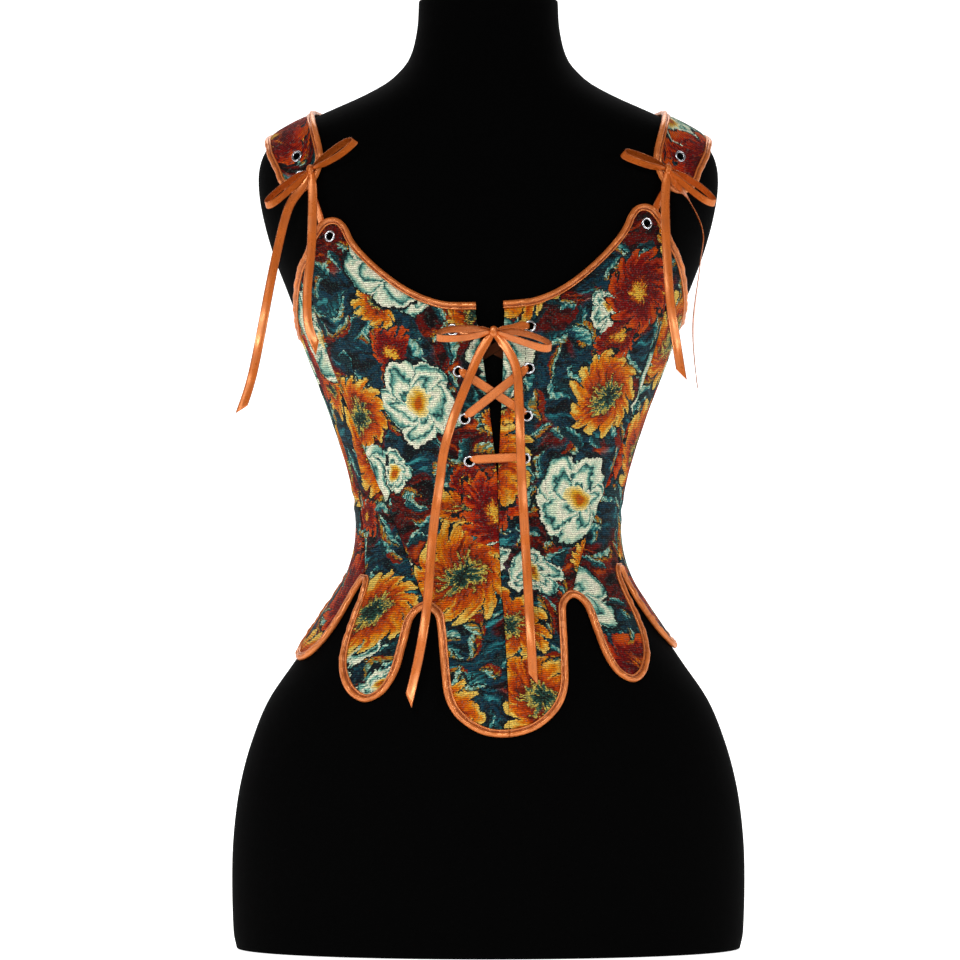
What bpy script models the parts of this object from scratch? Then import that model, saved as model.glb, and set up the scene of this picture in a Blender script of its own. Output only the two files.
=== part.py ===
"""Corset vest with ribbon ties, worn on a limbless dress form.

Metres, +Z up. The front faces -Y and +X is the right of the picture; left and right in the names are
as seen from the front. The origin is the middle of the form's flat base, which the part stands on.

The form is a stack of sections. The vest is cut in its own coordinates on the form: phi, the angle in
degrees round the body from the centre front, and h, the height in millimetres. Every cloth piece is a
wall between two smooth edges in phi and h, laid on the form and thickened outwards.
"""
import math
from collections import namedtuple

import bmesh
import bpy
from mathutils import Vector

MM = 0.001

# Dress form: one row a section, in mm
Section = namedtuple("Section", "z half_width front back")
FORM_SECTIONS = [
    Section(0, 181.0, 97, 110), Section(12, 183.5, 98, 112), Section(60, 184.5, 99, 116),
    Section(92, 182.5, 99, 119), Section(121, 178.0, 99, 119), Section(150, 170.0, 98, 117),
    Section(179, 158.0, 96, 112), Section(207, 139.0, 93, 104), Section(236, 119.5, 88, 93),
    Section(265, 101.0, 82, 82), Section(287, 94.0, 79, 76), Section(308, 92.5, 78, 74),
    Section(337, 96.5, 82, 77), Section(381, 110.0, 95, 86), Section(423, 126.0, 106, 93),
    Section(467, 142.5, 108, 95), Section(500, 155.0, 99, 90), Section(530, 163.0, 89, 84),
    Section(553, 165.5, 81, 78), Section(569, 162.5, 75, 74), Section(582, 153.5, 71, 71),
    Section(590, 141.0, 69, 69), Section(597, 126.5, 67, 67), Section(604, 111.0, 65, 65),
    Section(611, 95.0, 63, 63), Section(618, 81.0, 61, 61), Section(625, 70.0, 59, 58),
    Section(639, 57.5, 55, 54), Section(660, 51.5, 52, 51), Section(682, 50.0, 51, 50),
]
FORM_HEIGHT = 682.0
FORM_COLUMNS = 32
# Rings of the form between heights, closest at the waist and the shoulders
Span = namedtuple("Span", "low high rings")
FORM_SPANS = [Span(0, 150, 4), Span(150, 380, 15), Span(380, 550, 6), Span(550, 682, 11)]
BUST_RISE = 9.0
BUST_X, BUST_Z = 70.0, 436.0
BUST_SPREAD_X, BUST_SPREAD_Z = 40.0, 44.0
# Rounds of correction for a place seen from the front, and how near the side it may be
SIGHT_ROUNDS = 4
SIGHT_LIMIT = 0.98

# Cloth, binding, eyelets and ribbon, in mm
CLOTH_CLEAR = 1.2
CLOTH_WALL = 2.0
SEAM_GAP = 0.3
BINDING_WIDTH = 6.3
BINDING_THICKNESS = 3.2
BINDING_CHAMFER = 0.5
EYELET_RADIUS = 4.3
EYELET_HOLE_RADIUS = 2.6
EYELET_BARREL_RADIUS = 3.1
EYELET_SIDES = 10
EYELET_RISE = 1.0
# The rim slopes in from its outer edge and dips a little at the hole
EYELET_SLOPE = 0.9
EYELET_DIP = 0.35
CUTTER_REACH = 2.0
RIBBON_WIDTH = 6.5
RIBBON_THICKNESS = 0.6

CLOTH_FACE = CLOTH_CLEAR + CLOTH_WALL
BINDING_BACK = CLOTH_CLEAR + (CLOTH_WALL - BINDING_THICKNESS) / 2
BINDING_FACE = BINDING_BACK + BINDING_THICKNESS
RIBBON_LIFT = CLOTH_FACE + EYELET_RISE + 2 * SEAM_GAP + RIBBON_THICKNESS / 2
OVER_LIFT = RIBBON_LIFT + RIBBON_THICKNESS + 2 * SEAM_GAP

# How the vest sits on the form: it is turned a little about Z, and its left side hangs lower, in
# front more than behind at the top
Sit = namedtuple("Sit", "h turn_deg drop_per_mm front_drop")
SITS = [
    Sit(150, 5.0, 0.02, 0.065), Sit(240, 5.2, 0.02, 0.065), Sit(320, 4.1, 0.03, 0.035),
    Sit(400, 2.1, 0.05, 0.0), Sit(470, 0.0, 0.02, 0.025), Sit(505, -0.4, 0.0, 0.055),
    Sit(545, -0.4, 0.0, 0.065),
]

# Finished hem, from the centre front to the centre back: the tabs and the gaps between them. A corner
# is where a tab's side turns into its bottom, and a seam ends at the top of a gap.
Hem = namedtuple("Hem", "phi h mark")
HEM_FRONT = [
    Hem(0, 155, "start"), Hem(4.7, 156.7, ""), Hem(8.6, 161.6, ""), Hem(12.2, 169.4, "corner"),
    Hem(14.8, 178, ""), Hem(16.8, 188.8, ""), Hem(18.3, 202, ""), Hem(20.2, 219, ""),
    Hem(22.2, 235, ""), Hem(24.2, 244.5, ""), Hem(28.5, 248.8, "seam"),
    Hem(31.6, 242, ""), Hem(31.5, 226, ""), Hem(31.4, 208, ""), Hem(32.8, 195, ""),
    Hem(35.4, 188.4, "corner"), Hem(39.0, 186.4, ""), Hem(43.8, 191, ""),
    Hem(48.6, 199.6, "corner"), Hem(53.2, 211, ""), Hem(57.0, 226, ""), Hem(60.0, 246, ""),
    Hem(62.4, 262, ""), Hem(65.0, 269.5, "seam"),
]
# The other tabs share one outline: how far across the tab, and the height
Lobe = namedtuple("Lobe", "across h mark")
TAB_OUTLINE = [
    Lobe(0.05, 260.2, ""), Lobe(0.038, 247, ""), Lobe(0.06, 233.7, ""), Lobe(0.13, 222.2, "corner"),
    Lobe(0.25, 214.7, ""), Lobe(0.42, 212, ""), Lobe(0.58, 214.2, ""), Lobe(0.73, 220.9, "corner"),
    Lobe(0.84, 231.9, ""), Lobe(0.905, 246.1, ""), Lobe(0.945, 259.3, ""), Lobe(1.0, 269.5, "seam"),
]
TAB_ENDS = (65.0, 103.0, 141.5, 180.0)

# Finished top edge: neckline, shoulder tip, armhole, strap seat and back neckline
TOP_EDGE = [
    Hem(3.95, 462, "start"), Hem(8.2, 462.3, ""), Hem(13.2, 463.6, ""), Hem(19.0, 468.8, ""),
    Hem(24.4, 477, ""), Hem(29.6, 488.4, ""), Hem(34.2, 501.5, ""), Hem(36.6, 511, ""),
    Hem(37.8, 519.5, ""), Hem(39.6, 525.4, ""), Hem(42.3, 527.4, ""), Hem(45.4, 525.8, ""),
    Hem(48.8, 520, ""), Hem(52.2, 512, ""), Hem(56.0, 502.5, "seam"),
    Hem(61.0, 493.5, ""), Hem(68.0, 480, ""), Hem(75.0, 467.5, ""), Hem(83.0, 455, "seam"),
    Hem(91.0, 447.8, ""), Hem(100.0, 447, "seam"), Hem(109.0, 456, ""), Hem(117.0, 474, "seam"),
    Hem(122.5, 492, ""), Hem(126.0, 502, ""), Hem(130.0, 505, ""), Hem(138.0, 505, ""),
    Hem(146.5, 505, ""), Hem(151.0, 501.5, ""), Hem(157.0, 493, ""), Hem(167.0, 485, ""),
    Hem(180.0, 482, "seam"),
]

# The course of each seam between the hem and the top edge, from the front round to the back
Edge = namedtuple("Edge", "phi h")
SEAMS = [
    [Edge(36.5, 274), Edge(44.5, 296), Edge(52.0, 319), Edge(57.8, 343),
     Edge(61.5, 375), Edge(63.0, 408), Edge(62.8, 440), Edge(60.0, 472)],
    [Edge(72.0, 293), Edge(76.5, 315), Edge(80.0, 345), Edge(82.0, 400)],
    [Edge(102.4, 315), Edge(101.5, 360), Edge(100.5, 405)],
    [Edge(138.0, 310), Edge(133.0, 360), Edge(126.0, 410), Edge(120.0, 446)],
]
# Cells of each panel's grid, across it and up it; the first rows of each are its tab
Panel = namedtuple("Panel", "name columns tab_rows rows")
PANELS = [
    Panel("front", 14, 4, 14), Panel("side_front", 10, 4, 14), Panel("side", 8, 4, 14),
    Panel("side_back", 8, 4, 14), Panel("back", 8, 4, 14),
]
SMOOTH_STEPS = 12
EDGE_FADE = 3
BEND_WEIGHT = 16.0

# Lacing opening: closed below, then a V up to the neckline
OPENING_START = 337.0
OPENING_SLOPE = 0.085
OPENING_HALF_TOP = 9.8
EYELET_FROM_EDGE = 18.0
LACE_HEIGHTS = (352.0, 382.0, 415.0, 443.5)
TIP_EYELET = Edge(43.9, 513.6)

# Straps, over the shoulder: angle about a line along X, 0 at the crest and positive in front
STRAP_AXIS_Z = 506.5
Station = namedtuple("Station", "angle centre_x half_width")
STRAP_STATIONS = [
    Station(-90, 105.0, 18.5), Station(-60, 112.0, 18.5), Station(-30, 127.0, 18.5),
    Station(0, 140.5, 18.5), Station(20, 140.0, 18.5), Station(40, 133.0, 17.5),
    Station(57, 130.5, 17.0),
]
STRAP_FRONT, STRAP_BACK = 57.0, -90.0
STRAP_ROUND = 14.0
STRAP_ROUNDNESS = 0.96
STRAP_MM_A_DEGREE = 1.15
# How far along, for each edge place, the middle lies that its outer side is told from
STRAP_MIDDLE = 0.85
MITRE_LIMIT = 0.75
SHOULDER_REACH = 200.0
HALVINGS = 34
STRAP_COLUMNS, STRAP_ROWS = 6, 16
STRAP_RISE = 0.5
STRAP_EYELET_ANGLES = (36.0, 47.0)

# A place on the vest as seen from the front, in mm: x, z and lift above the form
Spot = namedtuple("Spot", "x z lift")
# A place in the air, in mm, with the turn in degrees of a ribbon's flat side from facing the front
Hang = namedtuple("Hang", "x y z turn")
RIBBON_STEP = 11.0
PINCH = 0.45

FRONT_KNOT = Spot(3.5, 443.0, 9.8)
KNOT_SIZE = (3.4, 2.6, 4.4)
FRONT_TAILS = {
    "front_tail_left": [
        Hang(1.8, -119.5, 438.6, 0), Hang(-7.0, -119, 424, 0), Hang(-17.0, -117.5, 400, 0),
        Hang(-25.5, -116, 378, 0), Hang(-31.5, -114, 356, 0), Hang(-34.0, -112, 337, 0),
        Hang(-39.0, -109, 300, 0), Hang(-43.0, -107, 250, 0), Hang(-48.5, -106, 215, 0),
        Hang(-57.0, -106, 178, 0)],
    "front_tail_right": [
        Hang(5.2, -120, 438.6, 0), Hang(14.0, -121, 427, 0), Hang(19.5, -120, 414, 0),
        Hang(21.2, -118, 394, 0), Hang(22.4, -115, 360, 0), Hang(23.6, -112, 330, 0),
        Hang(26.0, -109, 290, 0), Hang(28.8, -107, 240, 0), Hang(31.6, -106, 193, 0)],
}
SHOULDER_KNOTS = {"left": Spot(-126.5, 557.0, 7.3), "right": Spot(127.5, 557.5, 7.3)}
SHOULDER_TAILS = {
    "shoulder_tail_outer_left": [
        Hang(-128.3, -60.8, 552.0, 0), Hang(-132.5, -61.5, 544, 5), Hang(-141.5, -63, 530, 10),
        Hang(-149.0, -65, 502, 12), Hang(-156.0, -66, 468, 10), Hang(-164.2, -66, 425, 5),
        Hang(-169.5, -66, 403, 0), Hang(-176.2, -66, 383, 0)],
    "shoulder_tail_inner_left": [
        Hang(-125.4, -61.8, 551.6, 0), Hang(-124.5, -66.5, 538, 0), Hang(-124.5, -71.5, 520, 0),
        Hang(-125.3, -73.5, 500, 5), Hang(-128.0, -74.5, 470, 10), Hang(-127.0, -75, 446, 10),
        Hang(-119.0, -76, 426, 0)],
    "shoulder_tail_outer_right": [
        Hang(129.6, -60.2, 552.4, 10), Hang(134.0, -61, 545.5, 40), Hang(142.5, -62.5, 535, 75),
        Hang(152.0, -65, 513, 85), Hang(150.0, -67, 490, 88), Hang(144.8, -69, 444, 88),
        Hang(148.0, -70, 401.5, 84)],
    "shoulder_tail_inner_right": [
        Hang(126.6, -61.1, 552.1, 0), Hang(125.2, -66, 538, 0), Hang(125.2, -70.5, 520, 0),
        Hang(126.0, -72.5, 500, 0), Hang(128.2, -73.5, 466, 5), Hang(132.5, -73, 436, 0),
        Hang(137.2, -72, 407, 0)],
}
# Ties between the shoulder tips and the straps
SHOULDER_TIES = {
    "left": [Spot(-118.6, 520.6, 2.2), Spot(-126.0, 543.3, 2.6)],
    "right": [Spot(118.6, 529.5, 2.2), Spot(125.6, 543.3, 2.6)],
}
# Bow loops: the knot, the direction they leave it in the X-Z plane, how far they come forward for
# each mm, their length, opening and tilt
Loop = namedtuple("Loop", "knot aim_deg forward length opening tilt_deg")
LOOPS = {
    "front_loop_left": Loop(FRONT_KNOT, 184.0, 0.10, 40.0, 5.0, 38.0),
    "front_loop_right": Loop(FRONT_KNOT, -8.0, 0.10, 41.0, 5.0, 38.0),
    "shoulder_loop_inner_left": Loop(SHOULDER_KNOTS["left"], 32.0, 0.42, 40.0, 5.5, 35.0),
    "shoulder_loop_outer_left": Loop(SHOULDER_KNOTS["left"], 218.0, 0.42, 42.0, 5.5, 35.0),
    "shoulder_loop_inner_right": Loop(SHOULDER_KNOTS["right"], 162.0, 0.42, 36.0, 5.0, 35.0),
    "shoulder_loop_outer_right": Loop(SHOULDER_KNOTS["right"], -35.0, 0.35, 42.0, 6.0, 35.0),
}
LOOP_STEPS = 12

# Plain colours: red, green, blue, metallic, roughness
Finish = namedtuple("Finish", "red green blue metallic roughness")
BLACK_JERSEY = Finish(0.006, 0.006, 0.007, 0.0, 0.9)
TAPESTRY = Finish(0.10, 0.06, 0.05, 0.0, 0.85)
ORANGE_SATIN = Finish(0.72, 0.22, 0.06, 0.0, 0.38)
SILVER_STEEL = Finish(0.75, 0.75, 0.77, 1.0, 0.25)


def clear_scene():
    """Remove whatever the file holds."""
    for old in list(bpy.data.objects):
        bpy.data.objects.remove(old, do_unlink=True)


def read_table(rows, at):
    """Smoothly read a table whose first column rises; returns the other columns."""
    last = len(rows) - 1
    at = min(max(at, rows[0][0]), rows[last][0])
    i = 0
    while i < last - 1 and at > rows[i + 1][0]:
        i += 1
    low, high = rows[i], rows[i + 1]
    before, after = rows[max(i - 1, 0)], rows[min(i + 2, last)]
    span = high[0] - low[0]
    t = (at - low[0]) / span
    values = []
    for c in range(1, len(low)):
        slope_low = (high[c] - before[c]) / (high[0] - before[0]) * span
        slope_high = (after[c] - low[c]) / (after[0] - low[0]) * span
        values.append((2 * t ** 3 - 3 * t ** 2 + 1) * low[c] + (t ** 3 - 2 * t ** 2 + t) * slope_low
                      + (3 * t ** 2 - 2 * t ** 3) * high[c] + (t ** 3 - t ** 2) * slope_high)
    return values


def bust(x, z):
    """Extra depth of the front at the bust, the same on both sides."""
    across = (abs(x) - BUST_X) / BUST_SPREAD_X
    up = (z - BUST_Z) / BUST_SPREAD_Z
    return BUST_RISE * math.exp(-(across ** 2 + up ** 2) / 2)


def form_y(x, z, cosine):
    """Depth coordinate on the form; cosine is 1 at the centre front and -1 at the centre back."""
    _half, front, back = read_table(FORM_SECTIONS, z)
    if cosine >= 0:
        return -cosine * (front + bust(x, z) * cosine)
    return -cosine * back


def form_point(theta, z):
    """Point of the form at theta degrees from the centre front and height z, in mm."""
    turn = math.radians(theta)
    x = read_table(FORM_SECTIONS, z)[0] * math.sin(turn)
    return Vector((x, form_y(x, z, math.cos(turn)), z))


def lifted(point_at, u, v, lift, du=0.5, dv=1.0):
    """Point at (u, v) of a surface, moved out along its normal by lift."""
    along_u = point_at(u + du, v) - point_at(u - du, v)
    along_v = point_at(u, v + dv) - point_at(u, v - dv)
    return point_at(u, v) + along_u.cross(along_v).normalized() * lift


def vest_point(phi, h, lift):
    """Point of the vest at phi degrees and height h, lift mm out from the form."""
    turn, drop, front_drop = read_table(SITS, h)
    theta = phi + turn
    x = read_table(FORM_SECTIONS, h)[0] * math.sin(math.radians(theta))
    drop += front_drop * max(0.0, math.cos(math.radians(theta)))
    return lifted(form_point, theta, h + drop * x, lift)


def front_place(x, z, lift):
    """Point in front of the form that is seen at x and z, lift mm out from it, and the normal there."""
    base_x, base_z = x, z
    for _ in range(SIGHT_ROUNDS):
        half = read_table(FORM_SECTIONS, base_z)[0]
        sine = max(-SIGHT_LIMIT, min(SIGHT_LIMIT, base_x / half))
        theta = math.degrees(math.asin(sine))
        under, found = form_point(theta, base_z), lifted(form_point, theta, base_z, lift)
        base_x, base_z = base_x + x - found.x, base_z + z - found.z
    return found, (found - under).normalized()


def shoulder_base(x, angle):
    """Point of the form over the shoulder, at x and an angle about the strap axis."""
    out, up = math.sin(math.radians(angle)), math.cos(math.radians(angle))
    near, far = 0.0, SHOULDER_REACH
    for _ in range(HALVINGS):
        r = (near + far) / 2
        z = STRAP_AXIS_Z + r * up
        half, front, back = read_table(FORM_SECTIONS, z)
        inside = False
        if abs(x) < half and z < FORM_HEIGHT:
            cosine = math.sqrt(1 - (x / half) ** 2)
            depth = cosine * (front + bust(x, z) * cosine) if angle > 0 else cosine * back
            inside = r * abs(out) < depth
        if inside:
            near = r
        else:
            far = r
    return Vector((x, -near * out, STRAP_AXIS_Z + near * up))


def strap_point(x, angle, lift):
    """Point of the strap at x and its angle; a strap stands a little further off the form."""
    return lifted(lambda a, b: shoulder_base(b, a), angle, x, lift + STRAP_RISE)


def smooth_knots(knots, mirror_start, mirror_end):
    """Dense smooth line through knots of an edge, with the index of each knot on it."""
    knots = [Edge(knot.phi, knot.h) for knot in knots]
    first, last = knots[0], knots[-1]
    ahead = Edge(2 * first.phi - knots[1].phi, knots[1].h) if mirror_start else first
    behind = Edge(2 * last.phi - knots[-2].phi, knots[-2].h) if mirror_end else last
    full = [ahead] + knots + [behind]
    line, places = [], []
    for i in range(1, len(full) - 2):
        places.append(len(line))
        p0, p1, p2, p3 = full[i - 1:i + 3]
        for step in range(SMOOTH_STEPS):
            t = step / SMOOTH_STEPS
            line.append(Edge(*(
                0.5 * (2 * b + (c - a) * t + (2 * a - 5 * b + 4 * c - d) * t * t
                       + (3 * b - a - 3 * c + d) * t ** 3)
                for a, b, c, d in zip(p0, p1, p2, p3))))
    places.append(len(line))
    line.append(last)
    return line, places


def cloth_scale(phi, h):
    """Millimetres of cloth for one degree of phi and for one mm of h."""
    wide = (vest_point(phi + 0.5, h, CLOTH_CLEAR) - vest_point(phi - 0.5, h, CLOTH_CLEAR)).length
    tall = (vest_point(phi, h + 0.5, CLOTH_CLEAR) - vest_point(phi, h - 0.5, CLOTH_CLEAR)).length
    return wide, tall


def stations(line, start, end, count):
    """Indices of count + 1 places on a line, closer together where it bends."""
    measure = [0.0]
    for i in range(start, end):
        here, there = line[i], line[i + 1]
        wide, tall = cloth_scale(*here)
        step = Vector(((there.phi - here.phi) * wide, (there.h - here.h) * tall))
        bend = 0.0
        if i > 0:
            last = Vector(((here.phi - line[i - 1].phi) * wide, (here.h - line[i - 1].h) * tall))
            bend = last.angle(step, 0.0)
        measure.append(measure[-1] + step.length + BEND_WEIGHT * bend)
    chosen, i = [], 0
    for k in range(count + 1):
        want = measure[-1] * k / count
        while i < len(measure) - 1 and measure[i] < want - 1e-9:
            i += 1
        chosen.append(start + i)
    chosen[-1] = end
    return chosen


def inset(line, index, distance, side):
    """Place on a line moved into the cloth; side is 1 for a hem and -1 for a top edge."""
    here = line[index]
    before, after = line[max(index - 1, 0)], line[min(index + 1, len(line) - 1)]
    wide, tall = cloth_scale(*here)
    along = Vector(((after.phi - before.phi) * wide, (after.h - before.h) * tall))
    if here.phi in (0.0, 180.0):
        along = Vector((1.0, 0.0))
    along.normalize()
    return Edge(here.phi - side * along.y * distance / wide, here.h + side * along.x * distance / tall)


def hem_knots():
    """Knots of the whole half hem, with the tabs after the second one worked out."""
    knots = list(HEM_FRONT)
    for low, high in zip(TAB_ENDS, TAB_ENDS[1:]):
        knots += [Hem(low + (high - low) * row.across, row.h, row.mark) for row in TAB_OUTLINE]
    return knots


def opening_phi(h):
    """Angle of the front panel's centre edge: closed below, open in a V above."""
    wide = cloth_scale(0.0, h)[0]
    half = min(OPENING_HALF_TOP, max(SEAM_GAP / 2, (h - OPENING_START) * OPENING_SLOPE))
    return half / wide


def seam_places(middle, low, high, count):
    """Places on a seam between its two ends, count of them after the first, evenly spaced in h."""
    line = smooth_knots([low] + list(middle) + [high], False, False)[0]
    lengths = [0.0]
    for a, b in zip(line, line[1:]):
        lengths.append(lengths[-1] + abs(b.h - a.h) + 1e-6)
    places, i = [low], 0
    for k in range(1, count):
        want = lengths[-1] * k / count
        while lengths[i + 1] < want:
            i += 1
        f = (want - lengths[i]) / (lengths[i + 1] - lengths[i])
        places.append(Edge(line[i].phi + f * (line[i + 1].phi - line[i].phi),
                           line[i].h + f * (line[i + 1].h - line[i].h)))
    return places + [high]


def beside(places, shift):
    """Places on a seam moved squarely to one side of it by shift mm of cloth."""
    moved = []
    for i, place in enumerate(places):
        before, after = places[max(i - 1, 0)], places[min(i + 1, len(places) - 1)]
        wide, tall = cloth_scale(*place)
        along = Vector(((after.phi - before.phi) * wide, (after.h - before.h) * tall)).normalized()
        moved.append(Edge(place.phi + shift * along.y / wide, place.h - shift * along.x / tall))
    return moved


def centre_front_places(low_h, high_h, panel):
    """The front panel's centre edge, its first rows in the tab."""
    gap_top = next(row.h for row in HEM_FRONT if row.mark == "seam") + BINDING_WIDTH
    heights = [low_h + (gap_top - low_h) * i / panel.tab_rows for i in range(panel.tab_rows)]
    upper = panel.rows - panel.tab_rows
    heights += [gap_top + (high_h - gap_top) * i / upper for i in range(upper + 1)]
    return [Edge(opening_phi(h), h) for h in heights]


def set_material(obj, finish):
    """Give an object its own plain material."""
    material = bpy.data.materials.new(obj.name)
    material.use_nodes = True
    shader = material.node_tree.nodes["Principled BSDF"]
    shader.inputs["Base Color"].default_value = (finish.red, finish.green, finish.blue, 1.0)
    shader.inputs["Metallic"].default_value = finish.metallic
    shader.inputs["Roughness"].default_value = finish.roughness
    obj.data.materials.append(material)


def add_object(name, bm, finish):
    """Turn a bmesh into a named, smooth-shaded object."""
    mesh = bpy.data.meshes.new(name)
    bm.to_mesh(mesh)
    bm.free()
    mesh.shade_smooth()
    obj = bpy.data.objects.new(name, mesh)
    bpy.context.scene.collection.objects.link(obj)
    set_material(obj, finish)
    return obj


def loft(name, sections, finish, close_ends=True, closed_path=False):
    """Solid through a list of sections with the same number of points, in mm."""
    bm = bmesh.new()
    rings = [[bm.verts.new(point * MM) for point in section] for section in sections]
    size = len(rings[0])
    pairs = list(zip(rings, rings[1:]))
    if closed_path:
        pairs.append((rings[-1], rings[0]))
    for low, high in pairs:
        for k in range(size):
            bm.faces.new((low[k], low[(k + 1) % size], high[(k + 1) % size], high[k]))
    if close_ends and not closed_path:
        bm.faces.new(tuple(reversed(rings[0])))
        bm.faces.new(tuple(rings[-1]))
    bmesh.ops.recalc_face_normals(bm, faces=bm.faces)
    return add_object(name, bm, finish)


def wall(name, columns, rows, place, finish):
    """Cloth wall: place(s, t, lift) gives a point for s and t from 0 to 1."""
    bm = bmesh.new()
    bmesh.ops.create_grid(bm, x_segments=columns, y_segments=rows, size=0.5)
    raised = bmesh.ops.extrude_face_region(bm, geom=bm.faces[:], use_keep_orig=True)
    for item in raised["geom"]:
        if isinstance(item, bmesh.types.BMVert):
            item.co.z = 1.0
    for vert in bm.verts:
        s, t, outer = vert.co.x + 0.5, vert.co.y + 0.5, vert.co.z > 0.5
        vert.co = place(s, t, CLOTH_FACE if outer else CLOTH_CLEAR) * MM
    bmesh.ops.recalc_face_normals(bm, faces=bm.faces)
    return add_object(name, bm, finish)


def build_form():
    """The limbless dress form: neck, shoulder caps, bust, waist and hips, cut flat at both ends."""
    heights = [span.low + (span.high - span.low) * i / span.rings
               for span in FORM_SPANS for i in range(span.rings)] + [FORM_HEIGHT]
    turns = [360 * k / FORM_COLUMNS for k in range(FORM_COLUMNS)]
    loft("dress_form", [[form_point(turn, z) for turn in turns] for z in heights], BLACK_JERSEY)


def add_cutter(name, target, places, frame_at):
    """Round cutters through a cloth wall where its eyelets go."""
    bm = bmesh.new()
    for place in places:
        origin, across, along, out = frame_at(place)
        radius = EYELET_BARREL_RADIUS + SEAM_GAP
        rings = []
        for depth in (-CUTTER_REACH, CLOTH_WALL + CUTTER_REACH):
            rings.append([bm.verts.new((origin + out * depth
                                        + across * radius * math.cos(2 * math.pi * k / EYELET_SIDES)
                                        + along * radius * math.sin(2 * math.pi * k / EYELET_SIDES))
                                       * MM) for k in range(EYELET_SIDES)])
        for k in range(EYELET_SIDES):
            m = (k + 1) % EYELET_SIDES
            bm.faces.new((rings[0][k], rings[0][m], rings[1][m], rings[1][k]))
        bm.faces.new(tuple(reversed(rings[0])))
        bm.faces.new(tuple(rings[1]))
    bmesh.ops.recalc_face_normals(bm, faces=bm.faces)
    cutter = add_object(name, bm, SILVER_STEEL)
    cutter.hide_render = True
    cutter.display_type = "WIRE"
    cut = target.modifiers.new("eyelet_holes", "BOOLEAN")
    cut.operation = "DIFFERENCE"
    cut.object = cutter
    cut.solver = "EXACT"


def surface_frame(point_at, u, v):
    """Origin on the cloth's back face, two directions in it and the normal."""
    here = point_at(u, v, CLOTH_CLEAR)
    out = (point_at(u, v, CLOTH_FACE) - here).normalized()
    across = (point_at(u + 0.3, v, CLOTH_CLEAR) - here).normalized()
    across = (across - out * across.dot(out)).normalized()
    return here, across, out.cross(across), out


def add_eyelet(name, frame):
    """Metal eyelet: a rolled flange in front and a barrel through the cloth."""
    origin, across, along, out = frame
    face = CLOTH_WALL + SEAM_GAP
    profile = [(EYELET_RADIUS, face), (EYELET_RADIUS - EYELET_SLOPE, CLOTH_WALL + EYELET_RISE),
               (EYELET_HOLE_RADIUS, CLOTH_WALL + EYELET_RISE - EYELET_DIP),
               (EYELET_HOLE_RADIUS, -SEAM_GAP), (EYELET_BARREL_RADIUS, -SEAM_GAP),
               (EYELET_BARREL_RADIUS, face)]
    sections = []
    for k in range(EYELET_SIDES):
        turn = 2 * math.pi * k / EYELET_SIDES
        radial = across * math.cos(turn) + along * math.sin(turn)
        sections.append([origin + radial * r + out * up for r, up in profile])
    loft(name, sections, SILVER_STEEL, closed_path=True)


def add_ribbon(name, centres, outs, pinched=(False, False)):
    """Flat ribbon along points, its flat side facing each out direction; a knot pinches an end."""
    sections = []
    last = len(centres) - 1
    for i, (centre, out) in enumerate(zip(centres, outs)):
        along = (centres[min(i + 1, last)] - centres[max(i - 1, 0)]).normalized()
        side = along.cross(out).normalized()
        face = side.cross(along).normalized()
        narrow = (i == 0 and pinched[0]) or (i == last and pinched[1])
        half_width = side * RIBBON_WIDTH / 2 * (PINCH if narrow else 1.0)
        half_thick = face * RIBBON_THICKNESS / 2
        sections.append([centre - half_width - half_thick, centre + half_width - half_thick,
                         centre + half_width + half_thick, centre - half_width + half_thick])
    loft(name, sections, ORANGE_SATIN)


def curve_rows(rows, step):
    """Points about step mm apart on a smooth curve through the rows of a table."""
    full = [rows[0]] + list(rows) + [rows[-1]]
    found = []
    for i in range(1, len(full) - 2):
        p0, p1, p2, p3 = full[i - 1:i + 3]
        count = max(1, round(math.dist(p1[:3], p2[:3]) / step))
        for k in range(count):
            t = k / count
            found.append([0.5 * (2 * b + (c - a) * t + (2 * a - 5 * b + 4 * c - d) * t * t
                                 + (3 * b - a - 3 * c + d) * t ** 3)
                          for a, b, c, d in zip(p0, p1, p2, p3)])
    found.append(list(rows[-1]))
    return found


def add_laid_ribbon(name, spots):
    """Ribbon that lies on the front of the vest."""
    rows = curve_rows(spots, RIBBON_STEP)
    centres, outs = zip(*(front_place(*row) for row in rows))
    add_ribbon(name, centres, outs)


def add_hanging_ribbon(name, hangs):
    """Ribbon that hangs clear of the body, turned about its own length."""
    rows = curve_rows(hangs, RIBBON_STEP)
    centres = [Vector(row[:3]) for row in rows]
    outs = [Vector((math.sin(math.radians(row[3])), -math.cos(math.radians(row[3])), 0.0))
            for row in rows]
    add_ribbon(name, centres, outs, (True, False))


def add_knot(name, spot):
    """Small rounded knot of ribbon."""
    centre, out = front_place(*spot)
    side = Vector((0, 0, 1)).cross(out).normalized()
    down = side.cross(out)
    bm = bmesh.new()
    bmesh.ops.create_uvsphere(bm, u_segments=10, v_segments=6, radius=1.0)
    for vert in bm.verts:
        x, y, z = vert.co
        vert.co = (centre + side * x * KNOT_SIZE[0] + out * y * KNOT_SIZE[1]
                   + down * z * KNOT_SIZE[2]) * MM
    add_object(name, bm, ORANGE_SATIN)


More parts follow.
